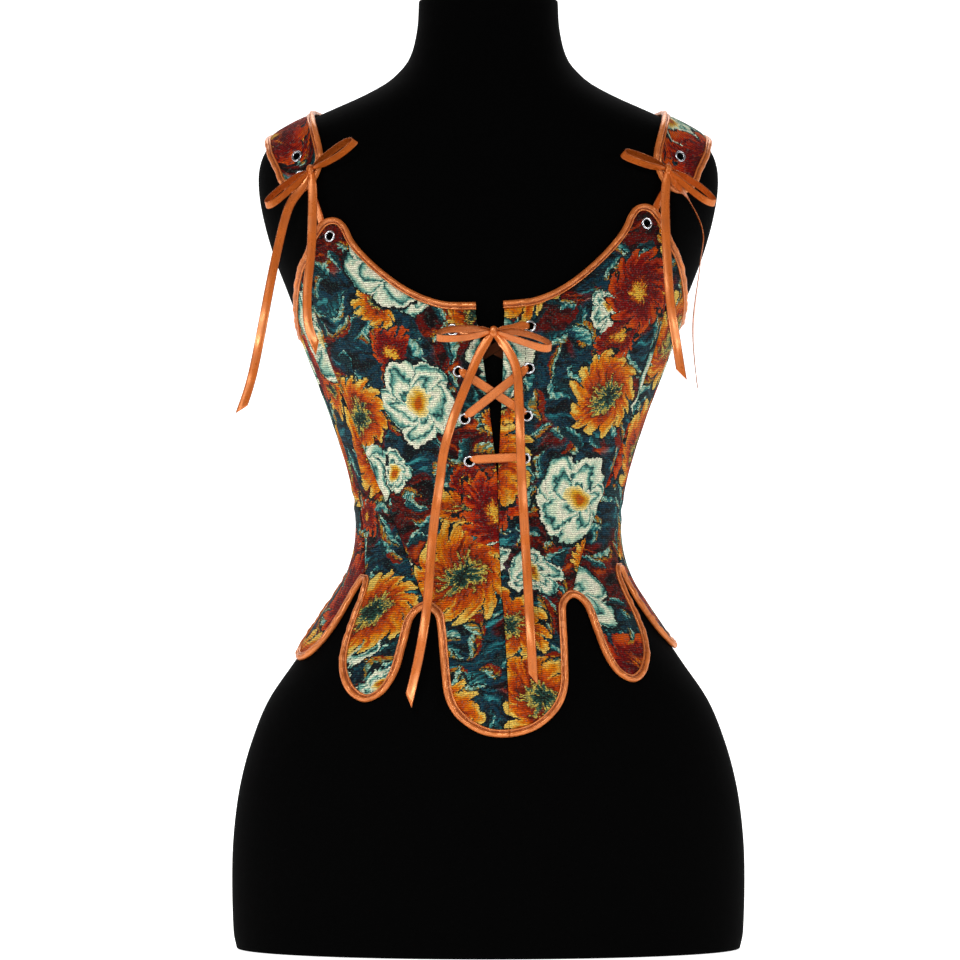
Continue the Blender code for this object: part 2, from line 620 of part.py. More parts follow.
def add_loop(name, loop):
    """One loop of a bow: the ribbon goes out from the knot and comes back over itself."""
    centre = front_place(*loop.knot)[0]
    aim = math.radians(loop.aim_deg)
    away = Vector((math.cos(aim), -loop.forward, math.sin(aim))).normalized()
    front = Vector((0, -1, 0))
    front = (front - away * front.dot(away)).normalized()
    rise = away.cross(front)
    if rise.z < 0:
        rise = -rise
    tilt = math.radians(loop.tilt_deg)
    across = front * math.cos(tilt) - rise * math.sin(tilt)
    start = 1.5 * SEAM_GAP + 1 / math.hypot(away.x / KNOT_SIZE[0], away.y / KNOT_SIZE[1],
                                            away.z / KNOT_SIZE[2])
    pinch = RIBBON_THICKNESS + SEAM_GAP / 2
    centres, outs = [], []
    for k in range(LOOP_STEPS + 1):
        turn = math.pi * k / LOOP_STEPS
        reach = start + (loop.length - start) * math.sin(turn)
        open_by = -math.cos(turn) * (pinch + (loop.opening - pinch) * math.sin(turn))
        centres.append(centre + away * reach + across * open_by)
        outs.append(away * math.sin(turn) - across * math.cos(turn))
    add_ribbon(name, centres, outs, (True, True))


def marked(places, knots, mark):
    """Indices on a line of the knots that carry a mark."""
    return [place for place, knot in zip(places, knots) if knot.mark == mark]


def tapestry_panel(panel, side, sign, bottom, upper, inner_edge, outer_edge):
    """Cloth wall of one panel between its four edges, each a list of places."""
    columns, rows = panel.columns, panel.rows

    def place(s, t, lift):
        low, high = bottom[round(s * columns)], upper[round(s * columns)]
        near, far = inner_edge[round(t * rows)], outer_edge[round(t * rows)]
        mixed = []
        for j in (0, 1):
            row = (1 - s) * near[j] + s * far[j]
            sag = low[j] - (1 - s) * bottom[0][j] - s * bottom[-1][j]
            swell = high[j] - (1 - s) * upper[0][j] - s * upper[-1][j]
            mixed.append(row + (1 - t) ** EDGE_FADE * sag + t ** EDGE_FADE * swell)
        return vest_point(sign * mixed[0], mixed[1], lift)

    return wall(f"{panel.name}_{side}", columns, rows, place, TAPESTRY)


def build_vest_side(side, sign):
    """All panels and both bindings of one half of the vest; sign is -1 on the left."""
    def on_side(phi, h, lift):
        return vest_point(sign * phi, h, lift)

    hem, hem_at = smooth_knots(hem_knots(), True, True)
    top, top_at = smooth_knots(TOP_EDGE, False, True)
    corners = [0] + marked(hem_at, hem_knots(), "corner")
    gaps = marked(hem_at, hem_knots(), "seam")
    tops = [0] + marked(top_at, TOP_EDGE, "seam")
    to_cloth = BINDING_WIDTH + SEAM_GAP
    hem_stations, top_stations, front, seam = [0], [0], None, None
    for i, panel in enumerate(PANELS):
        low = stations(hem, corners[2 * i], corners[2 * i + 1], panel.columns)
        high = stations(top, tops[i], tops[i + 1], panel.columns)
        climb = stations(hem, corners[2 * i + 1], gaps[i], panel.tab_rows)
        bottom = [inset(hem, k, to_cloth, 1) for k in low]
        upper = [inset(top, k, to_cloth, -1) for k in high]
        climbed = [inset(hem, k, to_cloth, 1) for k in climb]
        if i == 0:
            inner_edge = centre_front_places(bottom[0].h, upper[0].h, panel)
        else:
            fall = stations(hem, gaps[i - 1], corners[2 * i], panel.tab_rows)
            fallen = [inset(hem, k, to_cloth, 1) for k in fall]
            inner_edge = list(reversed(fallen[1:])) + beside(seam, SEAM_GAP / 2)
            hem_stations += fall[1:]
        course = SEAMS[i] if i < len(SEAMS) else []
        seam = seam_places(course, climbed[-1], upper[-1], panel.rows - panel.tab_rows)
        outer_edge = climbed[:-1] + beside(seam, -SEAM_GAP / 2)
        bottom[0], upper[0] = inner_edge[0], inner_edge[-1]
        bottom[-1], upper[-1] = outer_edge[0], outer_edge[-1]
        hem_stations += low[1:] + climb[1:]
        top_stations += high[1:]
        made = tapestry_panel(panel, side, sign, bottom, upper, inner_edge, outer_edge)
        front = front or made

    for name, line, chosen, way in (("hem_binding", hem, hem_stations, 1),
                                    ("top_binding", top, top_stations, -1)):
        sections = []
        for k in chosen:
            outer = shift_ends(line[k])
            inner = shift_ends(inset(line, k, BINDING_WIDTH, way))
            sections.append([on_side(*outer, BINDING_BACK + BINDING_CHAMFER),
                             on_side(*outer, BINDING_FACE - BINDING_CHAMFER),
                             on_side(*inner, BINDING_FACE), on_side(*inner, BINDING_BACK)])
        loft(f"{name}_{side}", sections, ORANGE_SATIN)

    def lace_frame(place):
        return surface_frame(on_side, place.phi, place.h)

    rows = [Edge(opening_phi(h) + EYELET_FROM_EDGE / cloth_scale(5.0, h)[0], h)
            for h in LACE_HEIGHTS]
    add_cutter(f"front_{side}_cutter", front, rows + [TIP_EYELET], lace_frame)
    for i, place in enumerate(rows):
        add_eyelet(f"lace_eyelet_{i + 1}_{side}", lace_frame(place))
    add_eyelet(f"tip_eyelet_{side}", lace_frame(TIP_EYELET))
    return [on_side(place.phi, place.h, 0.0) for place in rows]


def shift_ends(place):
    """Keep the two halves of a binding apart at the centre front and the centre back."""
    gap = SEAM_GAP / 2 / cloth_scale(*place)[0]
    return Edge(min(max(place.phi, gap), 180.0 - gap), place.h)


def strap_row(angle):
    """Centre and half width of the strap at an angle, in mm."""
    return read_table(STRAP_STATIONS, angle)


def strap_end(s, border):
    """Front end of the strap at s across it, rounded like a U, less a border in mm."""
    across = min(1.0, abs(2 * s - 1))
    bow = STRAP_ROUND * (1 - math.sqrt(1 - across ** 2 * STRAP_ROUNDNESS))
    return STRAP_FRONT - border / STRAP_MM_A_DEGREE - bow


def build_strap(side, sign):
    """One strap with its binding and two eyelets."""
    border = BINDING_WIDTH + SEAM_GAP

    def place(s, t, lift):
        angle = STRAP_BACK + t * (strap_end(s, border) - STRAP_BACK)
        centre, half = strap_row(angle)
        x = centre + (2 * s - 1) * (half - border)
        return strap_point(sign * x, angle, lift)

    panel = wall(f"strap_{side}", STRAP_COLUMNS, STRAP_ROWS, place, TAPESTRY)
    add_strap_binding(side, place)

    def frame_at(angle):
        centre = strap_row(angle)[0]
        return surface_frame(strap_point, sign * centre, angle)

    add_cutter(f"strap_{side}_cutter", panel, STRAP_EYELET_ANGLES, frame_at)
    for i, angle in enumerate(STRAP_EYELET_ANGLES):
        add_eyelet(f"strap_eyelet_{i + 1}_{side}", frame_at(angle))


def add_strap_binding(side, place):
    """Binding along both edges of the strap and round its front end, outside its wall."""
    route = [(0.0, i / STRAP_ROWS) for i in range(STRAP_ROWS + 1)]
    route += [(i / STRAP_COLUMNS, 1.0) for i in range(1, STRAP_COLUMNS)]
    route += [(1.0, i / STRAP_ROWS) for i in range(STRAP_ROWS, -1, -1)]
    inner = [place(s, t, 0.0) for s, t in route]
    sections = []
    for i, (s, t) in enumerate(route):
        here = inner[i]
        out = (place(s, t, 1.0) - here).normalized()
        behind = here - inner[i - 1] if i > 0 else inner[1] - here
        ahead = inner[i + 1] - here if i < len(route) - 1 else behind
        away = (ahead.normalized() + behind.normalized()).cross(out).normalized()
        if away.dot(here - place(0.5, STRAP_MIDDLE * t, 0.0)) < 0:
            away = -away
        stretch = 1.0 / max(MITRE_LIMIT, math.cos(ahead.angle(behind) / 2))
        near, far = away * SEAM_GAP * stretch, away * (BINDING_WIDTH + SEAM_GAP) * stretch
        sections.append([here + far + out * (BINDING_BACK + BINDING_CHAMFER),
                         here + far + out * (BINDING_FACE - BINDING_CHAMFER),
                         here + near + out * BINDING_FACE,
                         here + near + out * BINDING_BACK])
    loft(f"strap_binding_{side}", sections, ORANGE_SATIN)


def build_lacing(left, right):
    """Ribbon lacing between the rows of eyelets, and its leads up to the bow."""
    def between(a, b, part, lift):
        return Spot(a.x + (b.x - a.x) * part, a.z + (b.z - a.z) * part, lift)

    for name, start, end, lift in (("lace_bar", left[0], right[0], RIBBON_LIFT),
                                   ("lace_cross_under", left[2], right[1], RIBBON_LIFT),
                                   ("lace_cross_over", left[1], right[2], OVER_LIFT)):
        add_laid_ribbon(name, [between(start, end, 0.0, RIBBON_LIFT), between(start, end, 0.3, lift),
                               between(start, end, 0.7, lift), between(start, end, 1.0, RIBBON_LIFT)])
    knot_back = FRONT_KNOT.lift - KNOT_SIZE[1] - SEAM_GAP - RIBBON_THICKNESS / 2
    for side, eyelet, way in (("left", left[3], -1), ("right", right[3], 1)):
        end = Vector((FRONT_KNOT.x + way * (RIBBON_THICKNESS + SEAM_GAP), 0.0, FRONT_KNOT.z))
        add_laid_ribbon(f"lace_lead_{side}", [between(eyelet, end, 0.0, RIBBON_LIFT),
                                              between(eyelet, end, 0.5, RIBBON_LIFT),
                                              between(eyelet, end, 1.0, knot_back)])


def build_ribbons():
    """Bows, hanging tails and the shoulder ties."""
    add_knot("front_knot", FRONT_KNOT)
    for side, spot in SHOULDER_KNOTS.items():
        add_knot(f"shoulder_knot_{side}", spot)
        add_laid_ribbon(f"shoulder_tie_{side}", SHOULDER_TIES[side])
    for name, loop in LOOPS.items():
        add_loop(name, loop)
    for name, hangs in (FRONT_TAILS | SHOULDER_TAILS).items():
        add_hanging_ribbon(name, hangs)


def main():
    """Build the form, then the vest on it, then the ribbons."""
    clear_scene()
    build_form()
    rows = {}
    for side, sign in (("left", -1), ("right", 1)):
        rows[side] = build_vest_side(side, sign)
        build_strap(side, sign)
    build_lacing(rows["left"], rows["right"])
    build_ribbons()


main()
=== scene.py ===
"""Front-laced corset vest of floral tapestry with satin binding and ribbon bows, on a dress form.

Lengths in this file are millimetres until a point goes into a mesh, which is in metres. The front
faces -Y and left is -X. The vest is laid out in its own coordinates on the form: phi, the angle round
the body from the centre front in degrees, and h, the height.
"""
from __future__ import annotations

import logging
import math
from dataclasses import dataclass, field
from enum import Enum
from functools import partial
from typing import Callable, Iterable, Sequence

import bmesh
import bpy
from mathutils import Matrix, Vector

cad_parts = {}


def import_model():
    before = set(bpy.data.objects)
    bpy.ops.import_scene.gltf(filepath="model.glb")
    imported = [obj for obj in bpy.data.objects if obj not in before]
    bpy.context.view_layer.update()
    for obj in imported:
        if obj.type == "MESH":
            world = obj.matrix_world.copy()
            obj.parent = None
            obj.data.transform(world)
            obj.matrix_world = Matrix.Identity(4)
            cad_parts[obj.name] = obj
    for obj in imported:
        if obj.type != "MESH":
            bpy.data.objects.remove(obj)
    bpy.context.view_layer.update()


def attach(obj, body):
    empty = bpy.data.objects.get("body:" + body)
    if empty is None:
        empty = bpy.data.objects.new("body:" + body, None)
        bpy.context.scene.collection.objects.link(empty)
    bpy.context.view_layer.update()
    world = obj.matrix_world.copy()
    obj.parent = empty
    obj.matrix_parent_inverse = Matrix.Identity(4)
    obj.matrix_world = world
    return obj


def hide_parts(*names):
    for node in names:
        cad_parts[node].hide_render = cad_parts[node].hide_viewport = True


MM = 0.001
# How far the floor lies under the part, in metres, so that the two don't share a face
PAPER_UNDER = 0.0002
LOG = logging.getLogger("vest")
Place = tuple[float, float]
Frame = tuple[Vector, Vector]
Tree, Node, Socket = bpy.types.NodeTree, bpy.types.Node, bpy.types.NodeSocket
Source, Adder = Node | Socket, Callable[..., Node]
Material, Piece, Mesh = bpy.types.Material, bpy.types.Object, bmesh.types.BMesh


class Side(Enum):
    """The two halves of the vest, as seen from the front."""

    LEFT = -1
    RIGHT = 1

    @property
    def word(self) -> str:
        """The side's name as the nodes use it."""
        return self.name.lower()


# Materials

def linear(code: str) -> tuple[float, float, float, float]:
    """Turn an sRGB hex colour into linear red, green, blue and alpha.

    Args:
        code: the colour as #RRGGBB.

    Returns:
        Its four linear values.
    """
    parts = [int(code[i:i + 2], 16) / 255 for i in (1, 3, 5)]
    done = [p / 12.92 if p <= 0.04045 else ((p + 0.055) / 1.055) ** 2.4 for p in parts]
    return (done[0], done[1], done[2], 1.0)


def set_inputs(node: Node, inputs: dict) -> None:
    """Set or link a node's inputs.

    Args:
        node: the node.
        inputs: socket name or number, to a value, a hex colour, a socket to link from, or a node
            whose first live output is linked.
    """
    for name, value in inputs.items():
        socket = node.inputs[name]
        if isinstance(value, Node):
            value = next(output for output in value.outputs if output.enabled)
        if isinstance(value, Socket):
            node.id_data.links.new(value, socket)
        else:
            socket.default_value = linear(value) if isinstance(value, str) else value


def add_node(tree: Tree, kind: str, inputs: dict | None = None,
             stops: Sequence[tuple[float, str]] = (), **settings) -> Node:
    """Add one node with its settings and links.

    Args:
        tree: the node tree that it goes into.
        kind: the node's type, without the ShaderNode prefix.
        inputs: its sockets' values, as set_inputs takes them.
        stops: places and hex colours of a colour ramp.
        settings: properties of the node.

    Returns:
        The new node.
    """
    node = tree.nodes.new("ShaderNode" + kind)
    for name, value in settings.items():
        setattr(node, name, value)
    if stops:
        ramp = node.color_ramp.elements
        while len(ramp) < len(stops):
            ramp.new(0.5)
        for element, (position, code) in zip(ramp, stops):
            element.position = position
            element.color = linear(code)
    set_inputs(node, inputs or {})
    return node


def new_material(name: str) -> tuple[Material, Adder, Node]:
    """Make a node material.

    Args:
        name: its name.

    Returns:
        The material, add_node bound to its tree, and its shader node.
    """
    material = bpy.data.materials.new(name)
    material.use_nodes = True
    tree = material.node_tree
    return material, partial(add_node, tree), tree.nodes["Principled BSDF"]


@dataclass(frozen=True)
class BlackJersey:
    """Matt black cotton jersey stretched over the form: it drinks light, with a faint knit grain."""

    colour: str = "#030303"
    knit_mm: float = 0.9

    def build(self) -> Material:
        """Make the material.

        Returns:
            The material.
        """
        material, add, shader = new_material("black_cotton_jersey")
        place = add("TexCoord")
        knit = add("TexVoronoi", {"Vector": place.outputs["Object"], "Scale": 1000 / self.knit_mm})
        tone = add("ValToRGB", {"Fac": knit}, stops=((0.0, self.colour), (1.0, "#010101")))
        bump = add("Bump", {"Height": knit, "Strength": 0.25, "Distance": 0.0002})
        set_inputs(shader, {"Base Color": tone, "Normal": bump, "Roughness": 0.95,
                            "Specular IOR Level": 0.03})
        return material


@dataclass(frozen=True)
class OrangeSatin:
    """Polyester satin: long floats of glossy thread, so soft bright bands and deep warm shade."""

    name: str = "orange_polyester_satin"
    colour: str = "#D86C26"
    shade: str = "#8A3808"
    gleam: str = "#FFB680"
    thread_mm: float = 0.35
    edge_mm: float = 2.95
    roughness: float = 0.27
    specular: float = 0.9
    # Where a stitched groove lies across it, and how far the shade painted along it reaches
    groove_at_mm: float = 0.0
    groove_shade_mm: float = 0.0

    def build(self) -> Material:
        """Make the material; its UV runs along the ribbon and across it, in metres.

        Returns:
            The material.
        """
        material, add, shader = new_material(self.name)
        uv = add("UVMap", uv_map="UVMap")
        stretched = add("Mapping", {"Vector": uv, "Scale": (60.0, 1000 / self.thread_mm, 1.0)})
        threads = add("TexNoise", {"Vector": stretched, "Scale": 1.0, "Detail": 2.0},
                      noise_dimensions="2D")
        broad = add("TexNoise", {"Vector": uv, "Scale": 90.0, "Detail": 2.0}, noise_dimensions="2D")
        apart = add("SeparateXYZ", {0: uv})
        across = add("Math", {0: apart.outputs["Y"]}, operation="ABSOLUTE")
        edge = add("MapRange", {"Value": across, "From Min": (self.edge_mm - 0.35) * MM,
                                "From Max": self.edge_mm * MM})
        # Painted shade: a line of the shade colour along the stitched groove, which the lamps leave
        # unshadowed
        from_groove = add("Math", {0: apart.outputs["Y"], 1: self.groove_at_mm * MM},
                          operation="SUBTRACT")
        beside = add("Math", {0: from_groove}, operation="ABSOLUTE")
        groove = add("MapRange", {"Value": beside, "From Min": 0.0,
                                  "From Max": (self.groove_shade_mm + 0.001) * MM,
                                  "To Min": 1.0 if self.groove_shade_mm else 0.0, "To Max": 0.0})
        dark = add("Math", {0: edge, 1: groove}, operation="MAXIMUM")
        fac = add("MapRange", {"Value": threads, "From Min": 0.3, "From Max": 0.7, "To Min": 0.0,
                               "To Max": 0.45})
        # Broad random darkening towards the shade colour along the ribbon: partly uneven tone of the
        # satin, partly painted sheen
        drift = add("MapRange", {"Value": broad, "From Min": 0.35, "From Max": 0.7, "To Min": 0.0,
                                 "To Max": 0.3})
        both = add("Math", {0: fac, 1: drift}, operation="ADD")
        tone = add("Mix", {0: both, 6: self.colour, 7: self.shade}, data_type="RGBA")
        edged = add("Mix", {0: dark, 6: tone, 7: self.shade}, data_type="RGBA")
        gloss = add("MapRange", {"Value": broad, "From Min": 0.3, "From Max": 0.7,
                                 "To Min": self.roughness - 0.05, "To Max": self.roughness + 0.08})
        bump = add("Bump", {"Height": threads, "Strength": 0.12, "Distance": 0.0001})
        way = add("Tangent", direction_type="UV_MAP", uv_map="UVMap")
        set_inputs(shader, {"Base Color": edged, "Roughness": gloss, "Normal": bump, "Tangent": way,
                            "Anisotropic": 0.6, "IOR": 1.95, "Specular IOR Level": self.specular,
                            "Specular Tint": self.gleam})
        return material


@dataclass(frozen=True)
class NickelPlate:
    """Nickel-plated brass eyelet, pressed and polished: bright rolled rim, dark in the barrel."""

    colour: str = "#C9CBCF"

    def build(self) -> Material:
        """Make the material.

        Returns:
            The material.
        """
        material, add, shader = new_material("nickel_plated_brass")
        place = add("TexCoord")
        marks = add("TexNoise", {"Vector": place.outputs["Object"], "Scale": 900.0, "Detail": 3.0})
        gloss = add("MapRange", {"Value": marks, "To Min": 0.14, "To Max": 0.36})
        set_inputs(shader, {"Base Color": self.colour, "Metallic": 1.0, "Roughness": gloss})
        return material


@dataclass(frozen=True)
class SewingThread:
    """Spun polyester thread, a little fuzzy and duller than the satin it holds."""

    name: str = "rust_polyester_thread"
    colour: str = "#8A3C12"

    def build(self) -> Material:
        """Make the material.

        Returns:
            The material.
        """
        material, add, shader = new_material(self.name)
        place = add("TexCoord")
        twist = add("TexNoise", {"Vector": place.outputs["Object"], "Scale": 2600.0})
        bump = add("Bump", {"Height": twist, "Strength": 0.3, "Distance": 0.0001})
        level = add("MapRange", {"Value": twist, "To Min": 0.7, "To Max": 1.3})
        tone = add("HueSaturation", {"Color": self.colour, "Value": level})
        set_inputs(shader, {"Base Color": tone, "Normal": bump, "Roughness": 0.7})
        return material


@dataclass(frozen=True)
class FloralTapestry:
    """Jacquard tapestry cloth: cotton and viscose weft floats in thick ribs over a dark warp.

    The flowers, leaves and ground are a generic design made for this cloth. Each colour sits on a grid
    of threads, so every outline has the small steps of a woven picture.
    """

    warp_mm: float = 0.85
    weft_mm: float = 0.72
    rib_mm: float = 1.5
    bloom_mm: float = 78.0
    bud_mm: float = 40.0
    leaf_mm: float = 31.0

    def build(self) -> Material:
        """Make the material; its UV is in metres of cloth.

        Returns:
            The material.
        """
        material, add, shader = new_material("floral_jacquard_tapestry")
        uv = add("UVMap", uv_map="UVMap")
        mm = add("VectorMath", {0: uv, 1: (1000.0, 1000.0, 0.0)}, operation="MULTIPLY")
        grid = add("VectorMath", {0: mm, 1: (self.warp_mm, self.weft_mm, 1.0)}, operation="SNAP")
        chance = add("TexWhiteNoise", {"Vector": grid}, noise_dimensions="2D")
        wander = self.offset(add, grid, 26.0, 9.0, grid)
        drawn = self.offset(add, wander, 3.4, 1.7, grid)

        colour = self.ground(add, drawn)
        colour = self.leaves(add, drawn, self.leaf_mm * 0.72, (13.0, 57.0, 0.0), colour)
        colour = self.leaves(add, drawn, self.leaf_mm, (0.0, 0.0, 0.0), colour)
        colour = self.flowers(add, drawn, self.bud_mm, (71.0, 19.0, 0.0), 0.42, colour)
        colour = self.flowers(add, drawn, self.bloom_mm, (0.0, 0.0, 0.0), 0.93, colour)

        stray = add("ValToRGB", {"Fac": chance}, stops=(
            (0.0, "#070B0E"), (0.3, "#6E2F16"), (0.5, "#143A45"), (0.66, "#A27A34"),
            (0.82, "#4A1210"), (0.95, "#3E6A64")))
        split = add("SeparateColor", {0: chance.outputs["Color"]})
        often = add("MapRange", {"Value": split.outputs["Red"], "From Min": 0.70, "From Max": 1.0,
                                 "To Min": 0.0, "To Max": 0.42})
        mixed = add("Mix", {0: often, 6: colour, 7: stray}, data_type="RGBA")
        level = add("MapRange", {"Value": split.outputs["Green"], "To Min": 0.72, "To Max": 1.2})
        rib, relief = self.weave(add, mm)
        shade = add("Math", {0: level, 1: rib}, operation="MULTIPLY")
        final = add("HueSaturation", {"Color": mixed, "Value": shade, "Saturation": 1.05})
        bump = add("Bump", {"Height": relief, "Strength": 0.55, "Distance": 0.00035})
        set_inputs(shader, {"Base Color": final, "Normal": bump, "Roughness": 0.8,
                            "Specular IOR Level": 0.12})
        return material

    def offset(self, add: Adder, place: Source, size: float, reach: float, seed: Source) -> Source:
        """Move places about by a soft noise of one size and reach, both in mm.

        Args:
            add: adds a node.
            place: the places that are moved.
            size: size of the noise, in mm.
            reach: how far it moves them, in mm.
            seed: the places that the noise is read at.

        Returns:
            The moved places.
        """
        noise = add("TexNoise", {"Vector": seed, "Scale": 1 / size, "Detail": 1.0},
                    noise_dimensions="2D")
        centred = add("VectorMath", {0: noise.outputs["Color"], 1: (0.5, 0.5, 0.5)},
                      operation="SUBTRACT")
        moved = add("VectorMath", {0: centred, 1: (reach * 2, reach * 2, 0.0), 2: place},
                    operation="MULTIPLY_ADD")
        return moved

    def weave(self, add: Adder, mm: Source) -> tuple[Source, Source]:
        """Weft ribs with a dark line between them, crossed by the warp.

        The real ribs are about 1.2 mm apart; they are drawn a little coarser so that they show.

        Args:
            add: adds a node.
            mm: places on the cloth, in mm.

        Returns:
            The brightness of the ribs, and their height.
        """
        apart = add("SeparateXYZ", {0: mm})
        noise = add("TexNoise", {"Vector": mm, "Scale": 0.12, "Detail": 1.0}, noise_dimensions="2D")
        phase = add("Math", {0: apart.outputs["Y"], 1: 2 * math.pi / self.rib_mm}, operation="MULTIPLY")
        drift = add("Math", {0: noise, 1: 5.0, 2: phase}, operation="MULTIPLY_ADD")
        wave = add("Math", {0: drift}, operation="SINE")
        cross = add("Math", {0: apart.outputs["X"], 1: 2 * math.pi / self.warp_mm},
                    operation="MULTIPLY")
        crossed = add("Math", {0: cross}, operation="SINE")
        dark = add("MapRange", {"Value": wave, "From Min": -1.0, "From Max": -0.1, "To Min": 0.5,
                                "To Max": 1.06})
        height = add("Math", {0: crossed, 1: 0.25, 2: wave}, operation="MULTIPLY_ADD")
        return dark, height

    def ground(self, add: Adder, drawn: Source) -> Source:
        """Night-blue ground with teal and maroon drifts, laid in short slanting strokes.

        Args:
            add: adds a node.
            drawn: places on the cloth, in mm, drawn out of true.

        Returns:
            The colour.
        """
        slant = add("Mapping", {"Vector": drawn, "Rotation": (0.0, 0.0, 0.9), "Scale": (0.045, 0.16,
                                                                                        1.0)})
        strokes = add("TexNoise", {"Vector": slant, "Scale": 1.0, "Detail": 2.0, "Distortion": 0.6},
                      noise_dimensions="2D")
        drifts = add("TexNoise", {"Vector": drawn, "Scale": 0.016}, noise_dimensions="2D")
        cool = add("ValToRGB", {"Fac": strokes}, stops=(
            (0.30, "#04070A"), (0.43, "#0A161D"), (0.52, "#123A4B"), (0.58, "#060D12"),
            (0.66, "#1B5560"), (0.74, "#3F8F90")))
        warm = add("ValToRGB", {"Fac": strokes}, stops=(
            (0.30, "#090405"), (0.42, "#2A0A0C"), (0.52, "#6A1814"), (0.58, "#1A0708"),
            (0.66, "#8E2A16"), (0.74, "#B8501F")))
        where = add("MapRange", {"Value": drifts, "From Min": 0.53, "From Max": 0.56})
        mixed = add("Mix", {0: where, 6: cool, 7: warm}, data_type="RGBA")
        return mixed

    def cells(self, add: Adder, drawn: Source, size: float, shift: tuple[float, float, float],
              loose: float) -> tuple[Source, Source]:
        """Scatter one motif a cell.

        Args:
            add: adds a node.
            drawn: places on the cloth, in mm.
            size: how far apart the motifs are, in mm.
            shift: offset of the whole layer, in mm.
            loose: how unevenly they lie, from 0 to 1.

        Returns:
            The place relative to the nearest motif, in cells, and that motif's chance colour.
        """
        scaled = add("Mapping", {"Vector": drawn, "Location": shift})
        small = add("VectorMath", {0: scaled, "Scale": 1 / size}, operation="SCALE")
        cell = add("TexVoronoi", {"Vector": small, "Scale": 1.0, "Randomness": loose},
                   voronoi_dimensions="2D")
        from_motif = add("VectorMath", {0: small, 1: cell.outputs["Position"]}, operation="SUBTRACT")
        return from_motif, cell.outputs["Color"]

    def leaves(self, add: Adder, drawn: Source, size: float, shift: tuple[float, float, float],
               under: Source) -> Source:
        """Pointed leaves lying every way, half light and half dark, with a pale midrib.

        Args:
            add: adds a node.
            drawn: places on the cloth, in mm, drawn out of true.
            size: how far apart the leaves are, in mm.
            shift: offset of the layer, in mm.
            under: the colour under the leaves.

        Returns:
            The colour with the leaves on it.
        """
        place, chance = self.cells(add, drawn, size, shift, 0.9)
        split = add("SeparateColor", {0: chance})
        angle = add("Math", {0: split.outputs["Red"], 1: 2 * math.pi}, operation="MULTIPLY")
        turned = add("VectorRotate", {"Vector": place, "Angle": angle}, rotation_type="Z_AXIS")
        axes = add("SeparateXYZ", {0: turned})
        squared = add("Math", {0: axes.outputs["X"], 1: axes.outputs["X"]}, operation="MULTIPLY")
        width = add("Math", {0: squared, 1: -0.95, 2: 0.185}, operation="MULTIPLY_ADD")
        bow = add("Math", {0: squared, 1: 0.5, 2: axes.outputs["Y"]}, operation="MULTIPLY_ADD")
        off = add("Math", {0: bow}, operation="ABSOLUTE")
        inside = add("Math", {0: off, 1: width}, operation="LESS_THAN")
        lobes = add("Math", {0: off, 1: 1.3, 2: axes.outputs["X"]}, operation="MULTIPLY_ADD")
        veins = add("Math", {0: lobes, 1: 34.0}, operation="MULTIPLY")
        vein = add("Math", {0: veins}, operation="SINE")
        lean = add("Math", {0: bow, 1: 2.4, 2: split.outputs["Green"]}, operation="MULTIPLY_ADD")
        tone = add("Math", {0: vein, 1: 0.13, 2: lean}, operation="MULTIPLY_ADD")
        colour = add("ValToRGB", {"Fac": tone}, stops=(
            (0.05, "#0E2A30"), (0.25, "#1F5F66"), (0.40, "#58A298"), (0.52, "#BFD9BE"),
            (0.62, "#2C6A5E"), (0.74, "#86702C"), (0.84, "#C98A35"), (0.95, "#7A2417")))
        midrib = add("Math", {0: off, 1: 0.022}, operation="LESS_THAN")
        ribbed = add("Mix", {0: midrib, 6: colour, 7: "#0A1A1E"}, data_type="RGBA")
        over = add("Mix", {0: inside, 6: under, 7: ribbed}, data_type="RGBA")
        return over

    def flowers(self, add: Adder, drawn: Source, size: float, shift: tuple[float, float, float],
                share: float, under: Source) -> Source:
        """Ragged open flowers, curled white roses and dark red blooms, one kind a cell.

        Args:
            add: adds a node.
            drawn: places on the cloth, in mm, drawn out of true.
            size: how far apart the flowers are, in mm.
            shift: offset of the whole layer, in mm.
            share: the part of the cells that holds a flower.
            under: the colour under the flowers.

        Returns:
            The colour with the flowers on it.
        """
        place, chance = self.cells(add, drawn, size, shift, 0.62)
        split = add("SeparateColor", {0: chance})
        kind, swell, turn = (split.outputs[i] for i in range(3))
        axes = add("SeparateXYZ", {0: place})
        radius = add("VectorMath", {0: place}, operation="LENGTH")
        round_ = add("Math", {0: axes.outputs["Y"], 1: axes.outputs["X"]}, operation="ARCTAN2")
        is_rose = add("Math", {0: kind, 1: 0.27}, operation="LESS_THAN")
        petals = add("MapRange", {"Value": is_rose, "To Min": 13.0, "To Max": 5.0})
        turns = add("Math", {0: round_, 1: 1 / (2 * math.pi), 2: turn}, operation="MULTIPLY_ADD")
        curl = add("Math", {0: radius, 1: 0.35, 2: turns}, operation="MULTIPLY_ADD")
        count = add("Math", {0: curl, 1: petals}, operation="MULTIPLY")
        part = add("Math", {0: count, 1: 0.5}, operation="PINGPONG")
        gap = add("Math", {0: part, 1: 2.0}, operation="MULTIPLY")
        size_by = add("MapRange", {"Value": swell, "To Min": 0.36, "To Max": 0.50})
        lobe = add("Math", {0: gap, 1: 2.6}, operation="POWER")
        deep = add("MapRange", {"Value": is_rose, "To Min": -0.34, "To Max": -0.20})
        notch = add("Math", {0: lobe, 1: deep, 2: 1.0}, operation="MULTIPLY_ADD")
        reach = add("Math", {0: size_by, 1: notch}, operation="MULTIPLY")
        out = add("Math", {0: radius, 1: reach}, operation="DIVIDE")

